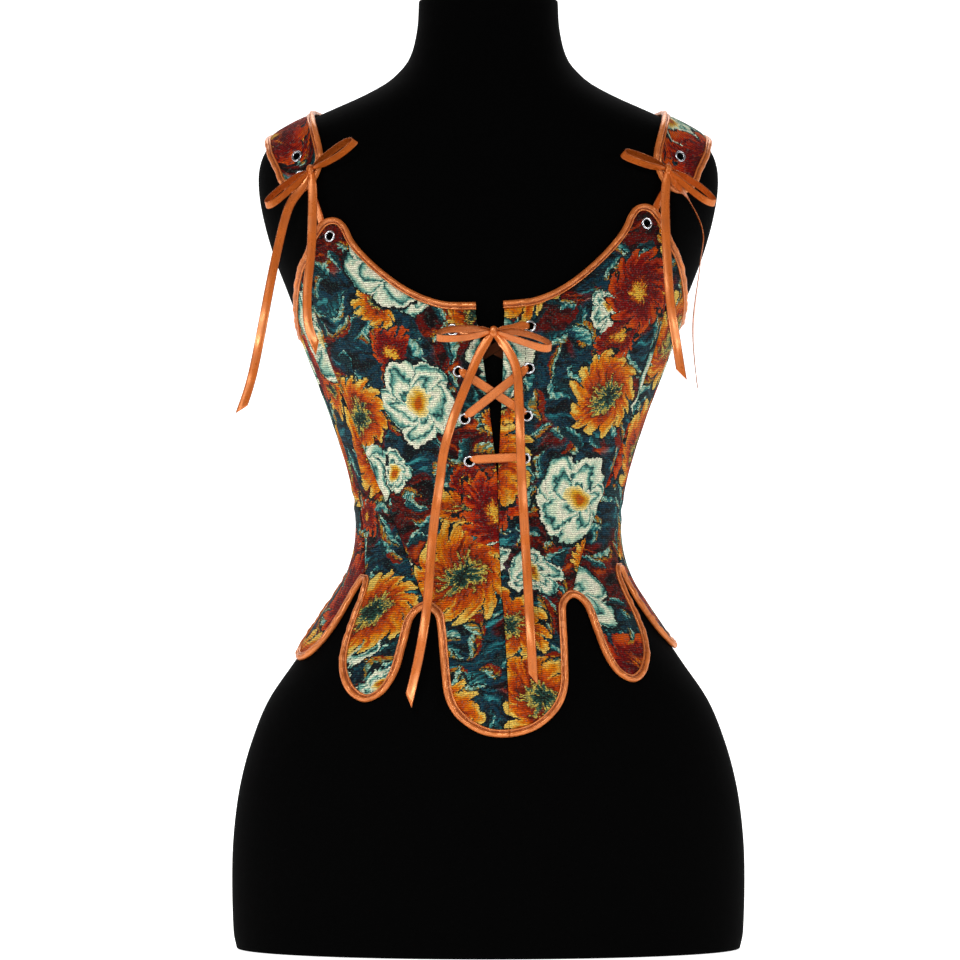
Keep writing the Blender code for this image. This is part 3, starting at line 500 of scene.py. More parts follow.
        streak_at = add("CombineXYZ", {0: count, 1: out, 2: swell})
        streaks = add("TexNoise", {"Vector": streak_at, "Scale": 3.1, "Detail": 2.0})
        stroke = add("Math", {0: streaks, 1: 0.95, 2: -0.475}, operation="MULTIPLY_ADD")
        lit = add("Math", {0: gap, 1: -0.2, 2: out}, operation="MULTIPLY_ADD")
        along = add("Math", {0: stroke, 1: lit}, operation="ADD")
        open_ = add("ValToRGB", {"Fac": along}, stops=(
            (0.02, "#101D18"), (0.16, "#2F5B4A"), (0.24, "#D9BE5A"), (0.31, "#3A120E"),
            (0.44, "#A63A1B"), (0.60, "#C75A24"), (0.76, "#D98A35"), (0.92, "#E3C063")))
        dark = add("ValToRGB", {"Fac": along}, stops=(
            (0.04, "#E0B04A"), (0.16, "#B2431C"), (0.30, "#3B0D10"), (0.46, "#7E1A18"),
            (0.58, "#4A0F12"), (0.72, "#A82E1C"), (0.90, "#C8562A")))
        ring = add("Math", {0: radius, 1: size_by}, operation="DIVIDE")
        petal = add("Math", {0: count}, operation="ROUND")
        curled = add("Math", {0: petal, 1: 0.38, 2: lobe}, operation="MULTIPLY_ADD")
        wound = add("Math", {0: ring, 1: 2.6, 2: curled}, operation="MULTIPLY_ADD")
        coil = add("Math", {0: stroke, 1: 1.2, 2: wound}, operation="MULTIPLY_ADD")
        turn_of = add("Math", {0: coil}, operation="FRACT")
        white = add("ValToRGB", {"Fac": turn_of}, stops=(
            (0.0, "#173A3E"), (0.08, "#6FAE9C"), (0.2, "#D2DEC2"), (0.42, "#F0EBD2"),
            (0.6, "#D9E2C2"), (0.76, "#9CC4AE"), (0.88, "#4C8E82"), (0.96, "#102A32")))
        heart = add("ValToRGB", {"Fac": ring}, stops=(
            (0.10, "#B4541F"), (0.20, "#D9A840"), (0.32, "#EFE3A6")))
        in_heart = add("Math", {0: ring, 1: 0.33}, operation="LESS_THAN")
        rose = add("Mix", {0: in_heart, 6: white, 7: heart}, data_type="RGBA")
        is_dark = add("Math", {0: kind, 1: 0.60}, operation="GREATER_THAN")
        warm = add("Mix", {0: is_dark, 6: open_, 7: dark}, data_type="RGBA")
        bloom = add("Mix", {0: is_rose, 6: warm, 7: rose}, data_type="RGBA")

        grown = add("Math", {0: turn, 1: share}, operation="LESS_THAN")
        for limit, paint in ((1.07, None), (1.0, bloom)):
            within = add("Math", {0: out, 1: limit}, operation="LESS_THAN")
            shown = add("Math", {0: within, 1: grown}, operation="MULTIPLY")
            under = add("Mix", {0: shown, 6: under, 7: paint or "#0A1317"}, data_type="RGBA")
        return under


@dataclass(frozen=True)
class PaleBackdrop:
    """Seamless white backdrop paper, quite matt, lit through from behind."""

    colour: str = "#F7F7F7"
    glow: float = 0.85

    def build(self) -> Material:
        """Make the material.

        Returns:
            The material.
        """
        material, add, shader = new_material("white_backdrop_paper")
        place = add("TexCoord")
        grain = add("TexNoise", {"Vector": place.outputs["Object"], "Scale": 300.0})
        bump = add("Bump", {"Height": grain, "Strength": 0.02})
        set_inputs(shader, {"Base Color": self.colour, "Normal": bump, "Roughness": 0.95,
                            "Specular IOR Level": 0.1, "Emission Color": self.colour,
                            "Emission Strength": self.glow})
        return material


# Mesh tools

def make_object(name: str, bm: Mesh, material: Material, nodes: Iterable[str] = ()) -> Piece:
    """Turn a bmesh into a smooth piece that rides on the body.

    Args:
        name: the piece's name.
        bm: its mesh, which is freed.
        material: its material.
        nodes: the CAD nodes that it stands for.

    Returns:
        The new object.
    """
    mesh = bpy.data.meshes.new(name)
    bm.to_mesh(mesh)
    bm.free()
    mesh.shade_smooth()
    mesh.materials.append(material)
    obj = bpy.data.objects.new(name, mesh)
    bpy.context.scene.collection.objects.link(obj)
    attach(obj, "root")
    if nodes:
        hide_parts(*nodes)
    LOG.info("%s: %d faces", name, len(mesh.polygons))
    return obj


def grid_mesh(columns: int, rows: int) -> tuple[Mesh, Callable]:
    """A flat grid, and a function that gives a vertex's column and row.

    Args:
        columns: cells across.
        rows: cells up.

    Returns:
        The bmesh, and the function, which holds until the vertices move.
    """
    bm = bmesh.new()
    bmesh.ops.create_grid(bm, x_segments=columns, y_segments=rows, size=0.5)

    def cell(vert: bmesh.types.BMVert) -> tuple[int, int]:
        """The vertex's column and row."""
        return round((vert.co.x + 0.5) * columns), round((vert.co.y + 0.5) * rows)

    return bm, cell


def cloth_blank(columns: int, rows: int) -> tuple[Mesh, dict]:
    """A flat grid with a back and a face, ready to be laid out.

    Args:
        columns: cells across.
        rows: cells up.

    Returns:
        The bmesh, and for each vertex its column, its row and whether it is on the face.
    """
    bm, cell = grid_mesh(columns, rows)
    bm.loops.layers.uv.new("UVMap")
    raised = bmesh.ops.extrude_face_region(bm, geom=bm.faces[:], use_keep_orig=True)
    for item in raised["geom"]:
        if isinstance(item, bmesh.types.BMVert):
            item.co.z = 1.0
    return bm, {vert: (*cell(vert), vert.co.z > 0.5) for vert in bm.verts}


def stand(frame: Frame) -> Matrix:
    """A matrix that stands a piece on a point, in metres, with its Z along the normal."""
    point, normal = frame
    return Matrix.Translation(point * MM) @ normal.to_track_quat("Z", "Y").to_matrix().to_4x4()


def tube_mesh(sections: Sequence[Sequence[Vector]], uvs: Sequence[Sequence[Place]]) -> Mesh:
    """A closed skin through sections that all have the same number of points.

    Args:
        sections: rings of points, in mm, one after the other.
        uvs: for each ring, its points' place along and across, in mm, with the first repeated.

    Returns:
        The bmesh, with caps on both ends and a UV map in metres.
    """
    size = len(sections[0])
    bm, cell = grid_mesh(size, len(sections) - 1)
    layer = bm.loops.layers.uv.new("UVMap")
    where = {vert: cell(vert) for vert in bm.verts}
    for face in bm.faces:
        for loop in face.loops:
            column, row = where[loop.vert]
            u, v = uvs[row][column]
            loop[layer].uv = (u * MM, v * MM)
    for vert, (column, row) in where.items():
        vert.co = sections[row][column % size] * MM
    bmesh.ops.remove_doubles(bm, verts=bm.verts, dist=1e-8)
    open_edges = [edge for edge in bm.edges if edge.is_boundary]
    bmesh.ops.holes_fill(bm, edges=open_edges, sides=0)
    bmesh.ops.recalc_face_normals(bm, faces=bm.faces)
    return bm


def read_table(rows: Sequence[Sequence[float]], at: float) -> list[float]:
    """Smoothly read a table whose first column rises; returns the other columns.

    Args:
        rows: the table's rows.
        at: the value to read it at.

    Returns:
        The other columns' values there.
    """
    last = len(rows) - 1
    at = min(max(at, rows[0][0]), rows[last][0])
    i = 0
    while i < last - 1 and at > rows[i + 1][0]:
        i += 1
    low, high = rows[i], rows[i + 1]
    before, after = rows[max(i - 1, 0)], rows[min(i + 2, last)]
    span = high[0] - low[0]
    t = (at - low[0]) / span
    values = []
    for c in range(1, len(low)):
        slope_low = (high[c] - before[c]) / (high[0] - before[0]) * span
        slope_high = (after[c] - low[c]) / (after[0] - low[0]) * span
        values.append((2 * t ** 3 - 3 * t ** 2 + 1) * low[c] + (t ** 3 - 2 * t ** 2 + t) * slope_low
                      + (3 * t ** 2 - 2 * t ** 3) * high[c] + (t ** 3 - t ** 2) * slope_high)
    return values


def curve(four: Sequence[Sequence[float]], t: float) -> list[float]:
    """A row between the middle two of four, on a smooth curve through them.

    Args:
        four: the four rows.
        t: how far it is from the second to the third, from 0 to 1.

    Returns:
        The row.
    """
    return [0.5 * (2 * b + (c - a) * t + (2 * a - 5 * b + 4 * c - d) * t * t
                   + (3 * b - a - 3 * c + d) * t ** 3)
            for a, b, c, d in zip(*four)]


def spline_rows(rows: Sequence[Sequence[float]], step: float) -> list[list[float]]:
    """Rows about step mm apart on a smooth curve through a table whose first columns are a point.

    Args:
        rows: the table's rows.
        step: distance between rows, in mm.

    Returns:
        The rows, with the table's first and last among them.
    """
    full = [rows[0]] + list(rows) + [rows[-1]]
    found = []
    for i in range(1, len(full) - 2):
        four = full[i - 1:i + 3]
        count = max(1, round(math.dist(four[1][:3], four[2][:3]) / step))
        found += [curve(four, k / count) for k in range(count)]
    found.append([float(value) for value in rows[-1]])
    return found


def lengths_along(points: Sequence[Vector]) -> list[float]:
    """Running length along a line of points.

    Args:
        points: the line's points.

    Returns:
        The length at each point, from 0.
    """
    total = [0.0]
    for a, b in zip(points, points[1:]):
        total.append(total[-1] + (b - a).length)
    return total


def pick(line: Sequence[Place], at: float) -> Place:
    """Place on a line at a whole or part index.

    Args:
        line: the line's places.
        at: the index.

    Returns:
        The place.
    """
    i = min(int(at), len(line) - 2)
    f = at - i
    return (line[i][0] + f * (line[i + 1][0] - line[i][0]),
            line[i][1] + f * (line[i + 1][1] - line[i][1]))


# The form, and the vest's layout on it

@dataclass
class FormShape:
    """Shape of the dress form: a row a section, with its height, half width, front and back."""

    sections: tuple = (
        (0, 181.0, 97, 110), (12, 183.5, 98, 112), (60, 184.5, 99, 116), (92, 182.5, 99, 119),
        (121, 178.0, 99, 119), (150, 170.0, 98, 117), (179, 158.0, 96, 112), (207, 139.0, 93, 104),
        (236, 119.5, 88, 93), (265, 101.0, 82, 82), (287, 94.0, 79, 76), (308, 92.5, 78, 74),
        (337, 96.5, 82, 77), (381, 110.0, 95, 86), (423, 126.0, 106, 93), (467, 142.5, 108, 95),
        (500, 155.0, 99, 90), (530, 163.0, 89, 84), (553, 165.5, 81, 78), (569, 162.5, 75, 74),
        (582, 153.5, 71, 71), (590, 141.0, 69, 69), (597, 126.5, 67, 67), (604, 111.0, 65, 65),
        (611, 95.0, 63, 63), (618, 81.0, 61, 61), (625, 70.0, 59, 58), (639, 57.5, 55, 54),
        (660, 51.5, 52, 51), (682, 50.0, 51, 50),
    )
    height: float = 682.0
    bust_rise: float = 9.0
    bust_at: Place = (70.0, 436.0)
    bust_spread: Place = (40.0, 44.0)
    strap_axis_z: float = 506.5
    strap_rise: float = 0.5

    def bust(self, x: float, z: float) -> float:
        """Extra depth of the front at the bust.

        Args:
            x: distance from the middle, in mm.
            z: height.

        Returns:
            The depth, in mm.
        """
        across = (abs(x) - self.bust_at[0]) / self.bust_spread[0]
        up = (z - self.bust_at[1]) / self.bust_spread[1]
        return self.bust_rise * math.exp(-(across ** 2 + up ** 2) / 2)

    def point(self, theta: float, z: float) -> Vector:
        """Point at theta degrees from the centre front and height z.

        Args:
            theta: the angle.
            z: the height.

        Returns:
            The point.
        """
        turn = math.radians(theta)
        half, front, back = read_table(self.sections, z)
        x, cosine = half * math.sin(turn), math.cos(turn)
        depth = -cosine * (front + self.bust(x, z) * cosine) if cosine >= 0 else -cosine * back
        return Vector((x, depth, z))

    def frame(self, theta: float, z: float) -> Frame:
        """Point and outward normal.

        Args:
            theta: degrees from the centre front.
            z: height.

        Returns:
            The point and the normal.
        """
        along = self.point(theta + 0.5, z) - self.point(theta - 0.5, z)
        up = self.point(theta, z + 1.0) - self.point(theta, z - 1.0)
        return self.point(theta, z), along.cross(up).normalized()

    def seen(self, x: float, z: float, lift: float) -> Frame:
        """Point in front of the form that is seen at x and z, lift out from it, and the normal.

        Args:
            x: where it is seen across.
            z: where it is seen up.
            lift: how far it is out from the form, in mm.

        Returns:
            The point and the normal.
        """
        base_x, base_z = x, z
        for _ in range(4):
            half = read_table(self.sections, base_z)[0]
            theta = math.degrees(math.asin(max(-0.98, min(0.98, base_x / half))))
            under, normal = self.frame(theta, base_z)
            found = under + normal * lift
            base_x, base_z = base_x + x - found.x, base_z + z - found.z
        return found, normal

    def shoulder(self, x: float, angle: float) -> Vector:
        """Point over the shoulder, at x and an angle about the strap's axis.

        Args:
            x: distance from the middle, in mm.
            angle: degrees from straight up, forwards.

        Returns:
            The point.
        """
        out, up = math.sin(math.radians(angle)), math.cos(math.radians(angle))
        near, far = 0.0, 200.0
        for _ in range(25):
            r = (near + far) / 2
            z = self.strap_axis_z + r * up
            half, front, back = read_table(self.sections, z)
            inside = False
            if abs(x) < half and z < self.height:
                cosine = math.sqrt(1 - (x / half) ** 2)
                depth = cosine * (front + self.bust(x, z) * cosine) if angle > 0 else cosine * back
                inside = r * abs(out) < depth
            near, far = (r, far) if inside else (near, r)
        return Vector((x, -near * out, self.strap_axis_z + near * up))

    def shoulder_frame(self, x: float, angle: float) -> Frame:
        """Point and outward normal of the strap's seat.

        Args:
            x: distance from the middle, in mm.
            angle: degrees from straight up, forwards.

        Returns:
            The point and the normal.
        """
        along = self.shoulder(x, angle + 0.5) - self.shoulder(x, angle - 0.5)
        side = self.shoulder(x + 1.0, angle) - self.shoulder(x - 1.0, angle)
        normal = along.cross(side).normalized()
        return self.shoulder(x, angle) + normal * self.strap_rise, normal


@dataclass
class VestLayout:
    """Edges and seams of the vest, in phi and h."""

    form: FormShape
    sits: tuple = (
        (150, 5.0, 0.02, 0.065), (240, 5.2, 0.02, 0.065), (320, 4.1, 0.03, 0.035),
        (400, 2.1, 0.05, 0.0), (470, 0.0, 0.02, 0.025), (505, -0.4, 0.0, 0.055),
        (545, -0.4, 0.0, 0.065),
    )
    hem_front: tuple = (
        (0, 155, "start"), (4.7, 156.7), (8.6, 161.6), (12.2, 169.4, "corner"),
        (14.8, 178), (16.8, 188.8), (18.3, 202), (20.2, 219), (22.2, 235),
        (24.2, 244.5), (28.5, 248.8, "seam"), (31.6, 242), (31.5, 226),
        (31.4, 208), (32.8, 195), (35.4, 188.4, "corner"), (39.0, 186.4),
        (43.8, 191), (48.6, 199.6, "corner"), (53.2, 211), (57.0, 226),
        (60.0, 246), (62.4, 262), (65.0, 269.5, "seam"),
    )
    tab_outline: tuple = (
        (0.05, 260.2), (0.038, 247), (0.06, 233.7), (0.13, 222.2, "corner"),
        (0.25, 214.7), (0.42, 212), (0.58, 214.2), (0.73, 220.9, "corner"),
        (0.84, 231.9), (0.905, 246.1), (0.945, 259.3), (1.0, 269.5, "seam"),
    )
    tab_ends: tuple = (65.0, 103.0, 141.5, 180.0)
    top_edge: tuple = (
        (3.95, 462, "start"), (8.2, 462.3), (13.2, 463.6), (19.0, 468.8),
        (24.4, 477), (29.6, 488.4), (34.2, 501.5), (36.6, 511), (37.8, 519.5),
        (39.6, 525.4), (42.3, 527.4), (45.4, 525.8), (48.8, 520), (52.2, 512),
        (56.0, 502.5, "seam"), (61.0, 493.5), (68.0, 480), (75.0, 467.5),
        (83.0, 455, "seam"), (91.0, 447.8), (100.0, 447, "seam"), (109.0, 456),
        (117.0, 474, "seam"), (122.5, 492), (126.0, 502), (130.0, 505),
        (138.0, 505), (146.5, 505), (151.0, 501.5), (157.0, 493),
        (167.0, 485), (180.0, 482, "seam"),
    )
    seams: tuple = (
        ((36.5, 274), (44.5, 296), (52.0, 319), (57.8, 343), (61.5, 375), (63.0, 408),
         (62.8, 440), (60.0, 472)),
        ((72.0, 293), (76.5, 315), (80.0, 345), (82.0, 400)),
        ((102.4, 315), (101.5, 360), (100.5, 405)),
        ((138.0, 310), (133.0, 360), (126.0, 410), (120.0, 446)),
        (),
    )
    cloth_back: float = 1.2
    cloth_face: float = 3.2
    seam_gap: float = 0.3
    binding_width: float = 6.3
    cloth_inset: float = 5.2
    opening_start: float = 337.0
    opening_slope: float = 0.085
    opening_half_top: float = 9.8
    steps: int = 12
    hem: list = field(init=False)
    hem_marks: list = field(init=False)
    top: list = field(init=False)
    top_marks: list = field(init=False)

    def __post_init__(self) -> None:
        """Work out the hem and the top edge, and the same lines where the cloth starts."""
        knots = [(*knot, "")[:3] for knot in self.hem_front]
        for low, high in zip(self.tab_ends, self.tab_ends[1:]):
            knots += [(low + (high - low) * a, h, *mark, "")[:3]
                      for a, h, *mark in self.tab_outline]
        self.hem, hem_at = self.smooth(knots, True, True)
        self.top, top_at = self.smooth(self.top_edge, False, True)
        self.hem_marks = [(i, knot[2]) for i, knot in zip(hem_at, knots)]
        self.top_marks = [(i, (*knot, "")[2]) for i, knot in zip(top_at, self.top_edge)]

    def frame(self, phi: float, h: float) -> Frame:
        """Point of the form under the vest at phi and h, and the outward normal.

        Args:
            phi: angle round the body.
            h: height.

        Returns:
            The point and the normal.
        """
        turn, drop, front_drop = read_table(self.sits, h)
        theta = phi + turn
        x = read_table(self.form.sections, h)[0] * math.sin(math.radians(theta))
        drop += front_drop * max(0.0, math.cos(math.radians(theta)))
        return self.form.frame(theta, h + drop * x)

    def at(self, phi: float, h: float, lift: float) -> Vector:
        """Point lift mm out from the form."""
        point, normal = self.frame(phi, h)
        return point + normal * lift

    def scale(self, phi: float, h: float) -> Place:
        """Millimetres of cloth for one degree of phi and for one mm of h.

        Args:
            phi: angle round the body.
            h: height.

        Returns:
            Both lengths.
        """
        lift = self.cloth_back
        wide = (self.at(phi + 0.5, h, lift) - self.at(phi - 0.5, h, lift)).length
        tall = (self.at(phi, h + 0.5, lift) - self.at(phi, h - 0.5, lift)).length
        return wide, tall

    def smooth(self, knots: Sequence, mirror_start: bool, mirror_end: bool) -> tuple[list[Place],
               list[int]]:
        """Dense smooth line through knots of an edge, with the index of each knot on it.

        Args:
            knots: the edge's knots.
            mirror_start: whether the line leaves its start squarely.
            mirror_end: whether it reaches its end squarely.

        Returns:
            The line and the indices.
        """
        knots = [(float(knot[0]), float(knot[1])) for knot in knots]
        first, last = knots[0], knots[-1]
        ahead = (2 * first[0] - knots[1][0], knots[1][1]) if mirror_start else first
        behind = (2 * last[0] - knots[-2][0], knots[-2][1]) if mirror_end else last
        full = [ahead] + knots + [behind]
        line, places = [], []
        for i in range(1, len(full) - 2):
            places.append(len(line))
            line += [tuple(curve(full[i - 1:i + 3], step / self.steps))
                     for step in range(self.steps)]
        places.append(len(line))
        line.append(last)
        return line, places

    def inset(self, line: Sequence[Place], index: int, distance: float, side: int) -> Place:
        """Place on a line moved into the cloth; side is 1 for a hem and -1 for a top edge.

        Args:
            line: the edge's line.
            index: the place's index on it.
            distance: how far it moves, in mm.
            side: which kind of edge.

        Returns:
            The moved place.
        """
        here = line[index]
        before, after = line[max(index - 1, 0)], line[min(index + 1, len(line) - 1)]
        wide, tall = self.scale(*here)
        along = Vector(((after[0] - before[0]) * wide, (after[1] - before[1]) * tall))
        if here[0] in (0.0, 180.0):
            along = Vector((1.0, 0.0))
        along.normalize()
        return (here[0] - side * along.y * distance / wide,
                here[1] + side * along.x * distance / tall)

    def even(self, line: Sequence[Place], start: int, end: int, count: int) -> list[float]:
        """Part indices of count + 1 evenly spaced places on a stretch of a line.

        Args:
            line: the line.
            start: first index of the stretch.
            end: last index of the stretch.
            count: number of parts.

        Returns:
            The indices.
        """
        points = [self.at(*line[i], self.cloth_back) for i in range(start, end + 1)]
        measure = lengths_along(points)
        found, i = [], 0
        for k in range(count + 1):
            want = measure[-1] * k / count
            while i < len(measure) - 2 and measure[i + 1] < want:
                i += 1
            found.append(start + i + (want - measure[i]) / max(1e-9, measure[i + 1] - measure[i]))
        found[-1] = float(end)
        return found

    def opening_phi(self, h: float) -> float:
        """Angle of the front panel's centre edge: closed below, open in a V above.

        Args:
            h: height.

        Returns:
            The angle.
        """
        half = min(self.opening_half_top,
                   max(self.seam_gap / 2, (h - self.opening_start) * self.opening_slope))
        return half / self.scale(0.0, h)[0]

    def seam_line(self, middle: Sequence[Place], low: Place, high: Place, count: int) -> list[Place]:
        """Places on a seam between its two ends, evenly spaced in h.

        Args:
            middle: places that it goes through.
            low: its lower end.
            high: its upper end.
            count: number of parts.

        Returns:
            The places.
        """
        line = self.smooth([low] + list(middle) + [high], False, False)[0]
        lengths = [0.0]
        for a, b in zip(line, line[1:]):
            lengths.append(lengths[-1] + abs(b[1] - a[1]) + 1e-6)
        places, i = [low], 0
        for k in range(1, count):
            want = lengths[-1] * k / count
            while lengths[i + 1] < want:
                i += 1
            places.append(pick(line, i + (want - lengths[i]) / (lengths[i + 1] - lengths[i])))
        return places + [high]

    def beside(self, places: Sequence[Place], shift: float) -> list[Place]:
        """Places on a seam moved squarely to one side of it by shift mm of cloth.

        Args:
            places: the seam's places.
            shift: the distance, in mm.

        Returns:
            The moved places.
        """
        moved = []
        for i, place in enumerate(places):
            before, after = places[max(i - 1, 0)], places[min(i + 1, len(places) - 1)]
            wide, tall = self.scale(*place)
            along = Vector(((after[0] - before[0]) * wide, (after[1] - before[1]) * tall))
            along.normalize()
            moved.append((place[0] + shift * along.y / wide, place[1] - shift * along.x / tall))
        return moved


# Pieces

@dataclass
class DressForm:
    """The limbless form, in one smooth padded skin with flat ends."""

    shape: FormShape
    columns: int = 120
    row_mm: float = 4.0

    def build(self, material: Material) -> None:
        """Make the form.

        Args:
            material: the form's material.
        """
        rows = round(self.shape.height / self.row_mm)
        heights = [self.shape.height * i / rows for i in range(rows + 1)]
        sections = [[self.shape.point(360 * k / self.columns, z) for k in range(self.columns)]
                    for z in heights]
        uvs = [[(z, 3.0 * k) for k in range(self.columns + 1)] for z in heights]
        bm = tube_mesh(sections, uvs)
        ends = [face for face in bm.faces if len(face.verts) > 4]
        rims = [edge for face in ends for edge in face.edges]
        bmesh.ops.bevel(bm, geom=rims, offset=1.2 * MM, segments=3, profile=0.5, affect="EDGES",
                        material=-1)
        make_object("dress_form_skin", bm, material, ["dress_form"])


@dataclass
class Stitching:
    """Rows of short sewn stitches."""

    length: float = 2.3
    gap: float = 1.0
    thickness: float = 0.38

    def add(self, bm: Mesh, points: Sequence[Vector], normals: Sequence[Vector]) -> None:
        """Lay stitches end to end along a line of points, in mm.

        Args:
            bm: the mesh that they go into.
            points: the line's points.
            normals: the cloth's normals along it.
        """
        measure = lengths_along(points)
        count = int(measure[-1] / (self.length + self.gap))
        i = 0
        for k in range(count):
            middle = (k + 0.5) * measure[-1] / count
            while i < len(measure) - 2 and measure[i + 1] < middle:
                i += 1
            f = (middle - measure[i]) / max(1e-6, measure[i + 1] - measure[i])
            centre = points[i].lerp(points[i + 1], f)
            along = (points[i + 1] - points[i]).normalized()
            out = normals[i].normalized()
            side = out.cross(along).normalized()
            turn = Matrix((along, side, out)).transposed().to_4x4()
            size = Matrix.Diagonal((self.length / 2, self.thickness, self.thickness * 0.7, 1.0))
            place = Matrix.Translation(centre * MM) @ turn @ Matrix.Scale(MM, 4) @ size
            bmesh.ops.create_uvsphere(bm, u_segments=6, v_segments=4, radius=1.0,
                                      matrix=place @ Matrix.Rotation(math.pi / 2, 4, "Y"))


@dataclass
class Panel:
    """One cloth panel's name, and the cells of its grid."""

    name: str
    columns: int
    tab_rows: int = 40
    rows: int = 140


@dataclass
class ClothVest:
    """The tapestry panels of both halves, with their eyelet strips."""

    layout: VestLayout
    panels: tuple = (Panel("front", 84), Panel("side_front", 56), Panel("side", 44),
                     Panel("side_back", 44), Panel("back", 48))
    edge_round: float = 0.85
    edge_reach: float = 1.5
    channel_lines: tuple = (6.0, 15.5, 24.0, 34.0)
    channel_rise: float = 0.5
    stitch_dip: float = 0.45
    stitch_reach: float = 0.8
    # How far up the creases are moved on the left and on the right
    crease_shift: Place = (9.0, -6.0)
    ripple: float = 0.12
    creases: tuple = (
        # phi, h, half length, half width, slope in degrees, depth
        (16.0, 318.0, 26.0, 4.0, 8.0, 0.9), (30.0, 331.0, 20.0, 3.6, 20.0, 0.7),
        (50.0, 322.0, 24.0, 4.2, -6.0, 0.9), (68.0, 312.0, 22.0, 4.0, 10.0, 0.8),
        (22.0, 296.0, 22.0, 4.4, -14.0, 0.8), (44.0, 300.0, 18.0, 3.4, 12.0, 0.6),
        (90.0, 318.0, 20.0, 4.0, -8.0, 0.8), (118.0, 314.0, 24.0, 4.2, 7.0, 0.8),
        (150.0, 320.0, 28.0, 4.6, -5.0, 0.9), (14.0, 205.0, 16.0, 4.0, 60.0, 0.6),
        (38.0, 455.0, 20.0, 4.6, 35.0, 0.7), (56.0, 448.0, 18.0, 4.0, 50.0, 0.6),
    )
    eyelet_from_edge: float = 18.0
    lace_heights: tuple = (352.0, 382.0, 415.0, 443.5)
    tip_eyelet: Place = (43.9, 513.6)
    # Where each panel is cut from the cloth, how far on the right half's is, and its stretch
    pattern_at: tuple = ((0.0, 0.0), (310.0, 140.0), (620.0, 60.0), (930.0, 210.0),
                         (1240.0, 20.0))
    pattern_right: float = 155.0
    pattern_tall: float = 1.02

    def build(self, cloth: Material, thread: Material) -> None:
        """Make all the panels and the stitching on them."""
        for side in Side:
            self.build_half(side, cloth, thread)

    def build_half(self, side: Side, cloth: Material, thread: Material) -> None:
        """Make the panels of one half.

        Args:
            side: the half.
            cloth: the panels' material.
            thread: the stitches' material.
        """
        lay = self.layout
        hem_cloth = [lay.inset(lay.hem, i, lay.cloth_inset, 1) for i in range(len(lay.hem))]
        top_cloth = [lay.inset(lay.top, i, lay.cloth_inset, -1) for i in range(len(lay.top))]
        corners = [0] + [i for i, mark in lay.hem_marks if mark == "corner"]
        gaps = [i for i, mark in lay.hem_marks if mark == "seam"]
        tops = [0] + [i for i, mark in lay.top_marks if mark == "seam"]
        seam: list[Place] = []
        for i, panel in enumerate(self.panels):
            low = lay.even(lay.hem, corners[2 * i], corners[2 * i + 1], panel.columns)
            high = lay.even(lay.top, tops[i], tops[i + 1], panel.columns)
            climb = lay.even(lay.hem, corners[2 * i + 1], gaps[i], panel.tab_rows)
            bottom = [pick(hem_cloth, k) for k in low]
            upper = [pick(top_cloth, k) for k in high]
            climbed = [pick(hem_cloth, k) for k in climb]
            if i == 0:
                inner = self.centre_front(bottom[0][1], upper[0][1], panel)
            else:
                fall = lay.even(lay.hem, gaps[i - 1], corners[2 * i], panel.tab_rows)
                fallen = [pick(hem_cloth, k) for k in fall]
                inner = list(reversed(fallen[1:])) + lay.beside(seam, lay.seam_gap / 2)
            seam = lay.seam_line(lay.seams[i], climbed[-1], upper[-1],
                                 panel.rows - panel.tab_rows)
            outer = climbed[:-1] + lay.beside(seam, -lay.seam_gap / 2)
            bottom[0], upper[0] = inner[0], inner[-1]
            bottom[-1], upper[-1] = outer[0], outer[-1]
            self.build_panel(side, i, bottom, upper, inner, outer, cloth, thread)

    def centre_front(self, low_h: float, high_h: float, panel: Panel) -> list[Place]:
        """The front panel's centre edge, its first rows in the tab.

        Args:
            low_h: its lower end's height.
            high_h: its upper end's height.
            panel: the panel.

        Returns:
            The places, from the lowest up.
        """
        lay = self.layout
        gap_top = next(knot[1] for knot in lay.hem_front if "seam" in knot) + lay.binding_width
        heights = [low_h + (gap_top - low_h) * i / panel.tab_rows for i in range(panel.tab_rows)]
        above = panel.rows - panel.tab_rows
        heights += [gap_top + (high_h - gap_top) * i / above for i in range(above + 1)]
        return [(lay.opening_phi(h), h) for h in heights]

    def relief(self, phi: float, h: float, wide: float, from_edge: float, from_front: float,
               side: Side) -> float:
        """Height of the cloth's face above its plain level.

        Args:
            phi: angle round the body.
            h: height.
            wide: millimetres of cloth a degree.
            from_edge: distance from the panel's nearest edge, in mm.
            from_front: distance from the centre front edge, in mm, or a large number.
            side: the half of the vest.

        Returns:
            The height, in mm.
        """
        rise = -self.edge_round * math.exp(-(from_edge / self.edge_reach) ** 2)
        for low, high in ((0, 1), (2, 3)):
            start, end = self.channel_lines[low], self.channel_lines[high]
            if start < from_front < end:
                rise += self.channel_rise * math.sin(math.pi * (from_front - start)
                                                     / (end - start)) ** 0.6
        for line in self.channel_lines:
            rise -= self.stitch_dip * math.exp(-((from_front - line) / self.stitch_reach) ** 2)
        shift = self.crease_shift[side is Side.RIGHT]
        for c_phi, c_h, half_length, half_width, slope, depth in self.creases:
            dx, dz = (phi - c_phi) * wide, h - c_h - shift
            turn = math.radians(slope)
            along = (dx * math.cos(turn) + dz * math.sin(turn)) / half_length
            across = (dz * math.cos(turn) - dx * math.sin(turn)) / half_width
            if abs(along) < 2.0 and abs(across) < 3.0:
                rise -= depth * math.exp(-along ** 2 * 1.5) * (
                    math.exp(-across ** 2) - 0.55 * math.exp(-(abs(across) - 1.6) ** 2 * 1.4))
        return rise + self.ripple * math.sin(phi * 0.55 + h * 0.11) * math.sin(h * 0.19 - phi * 0.2)

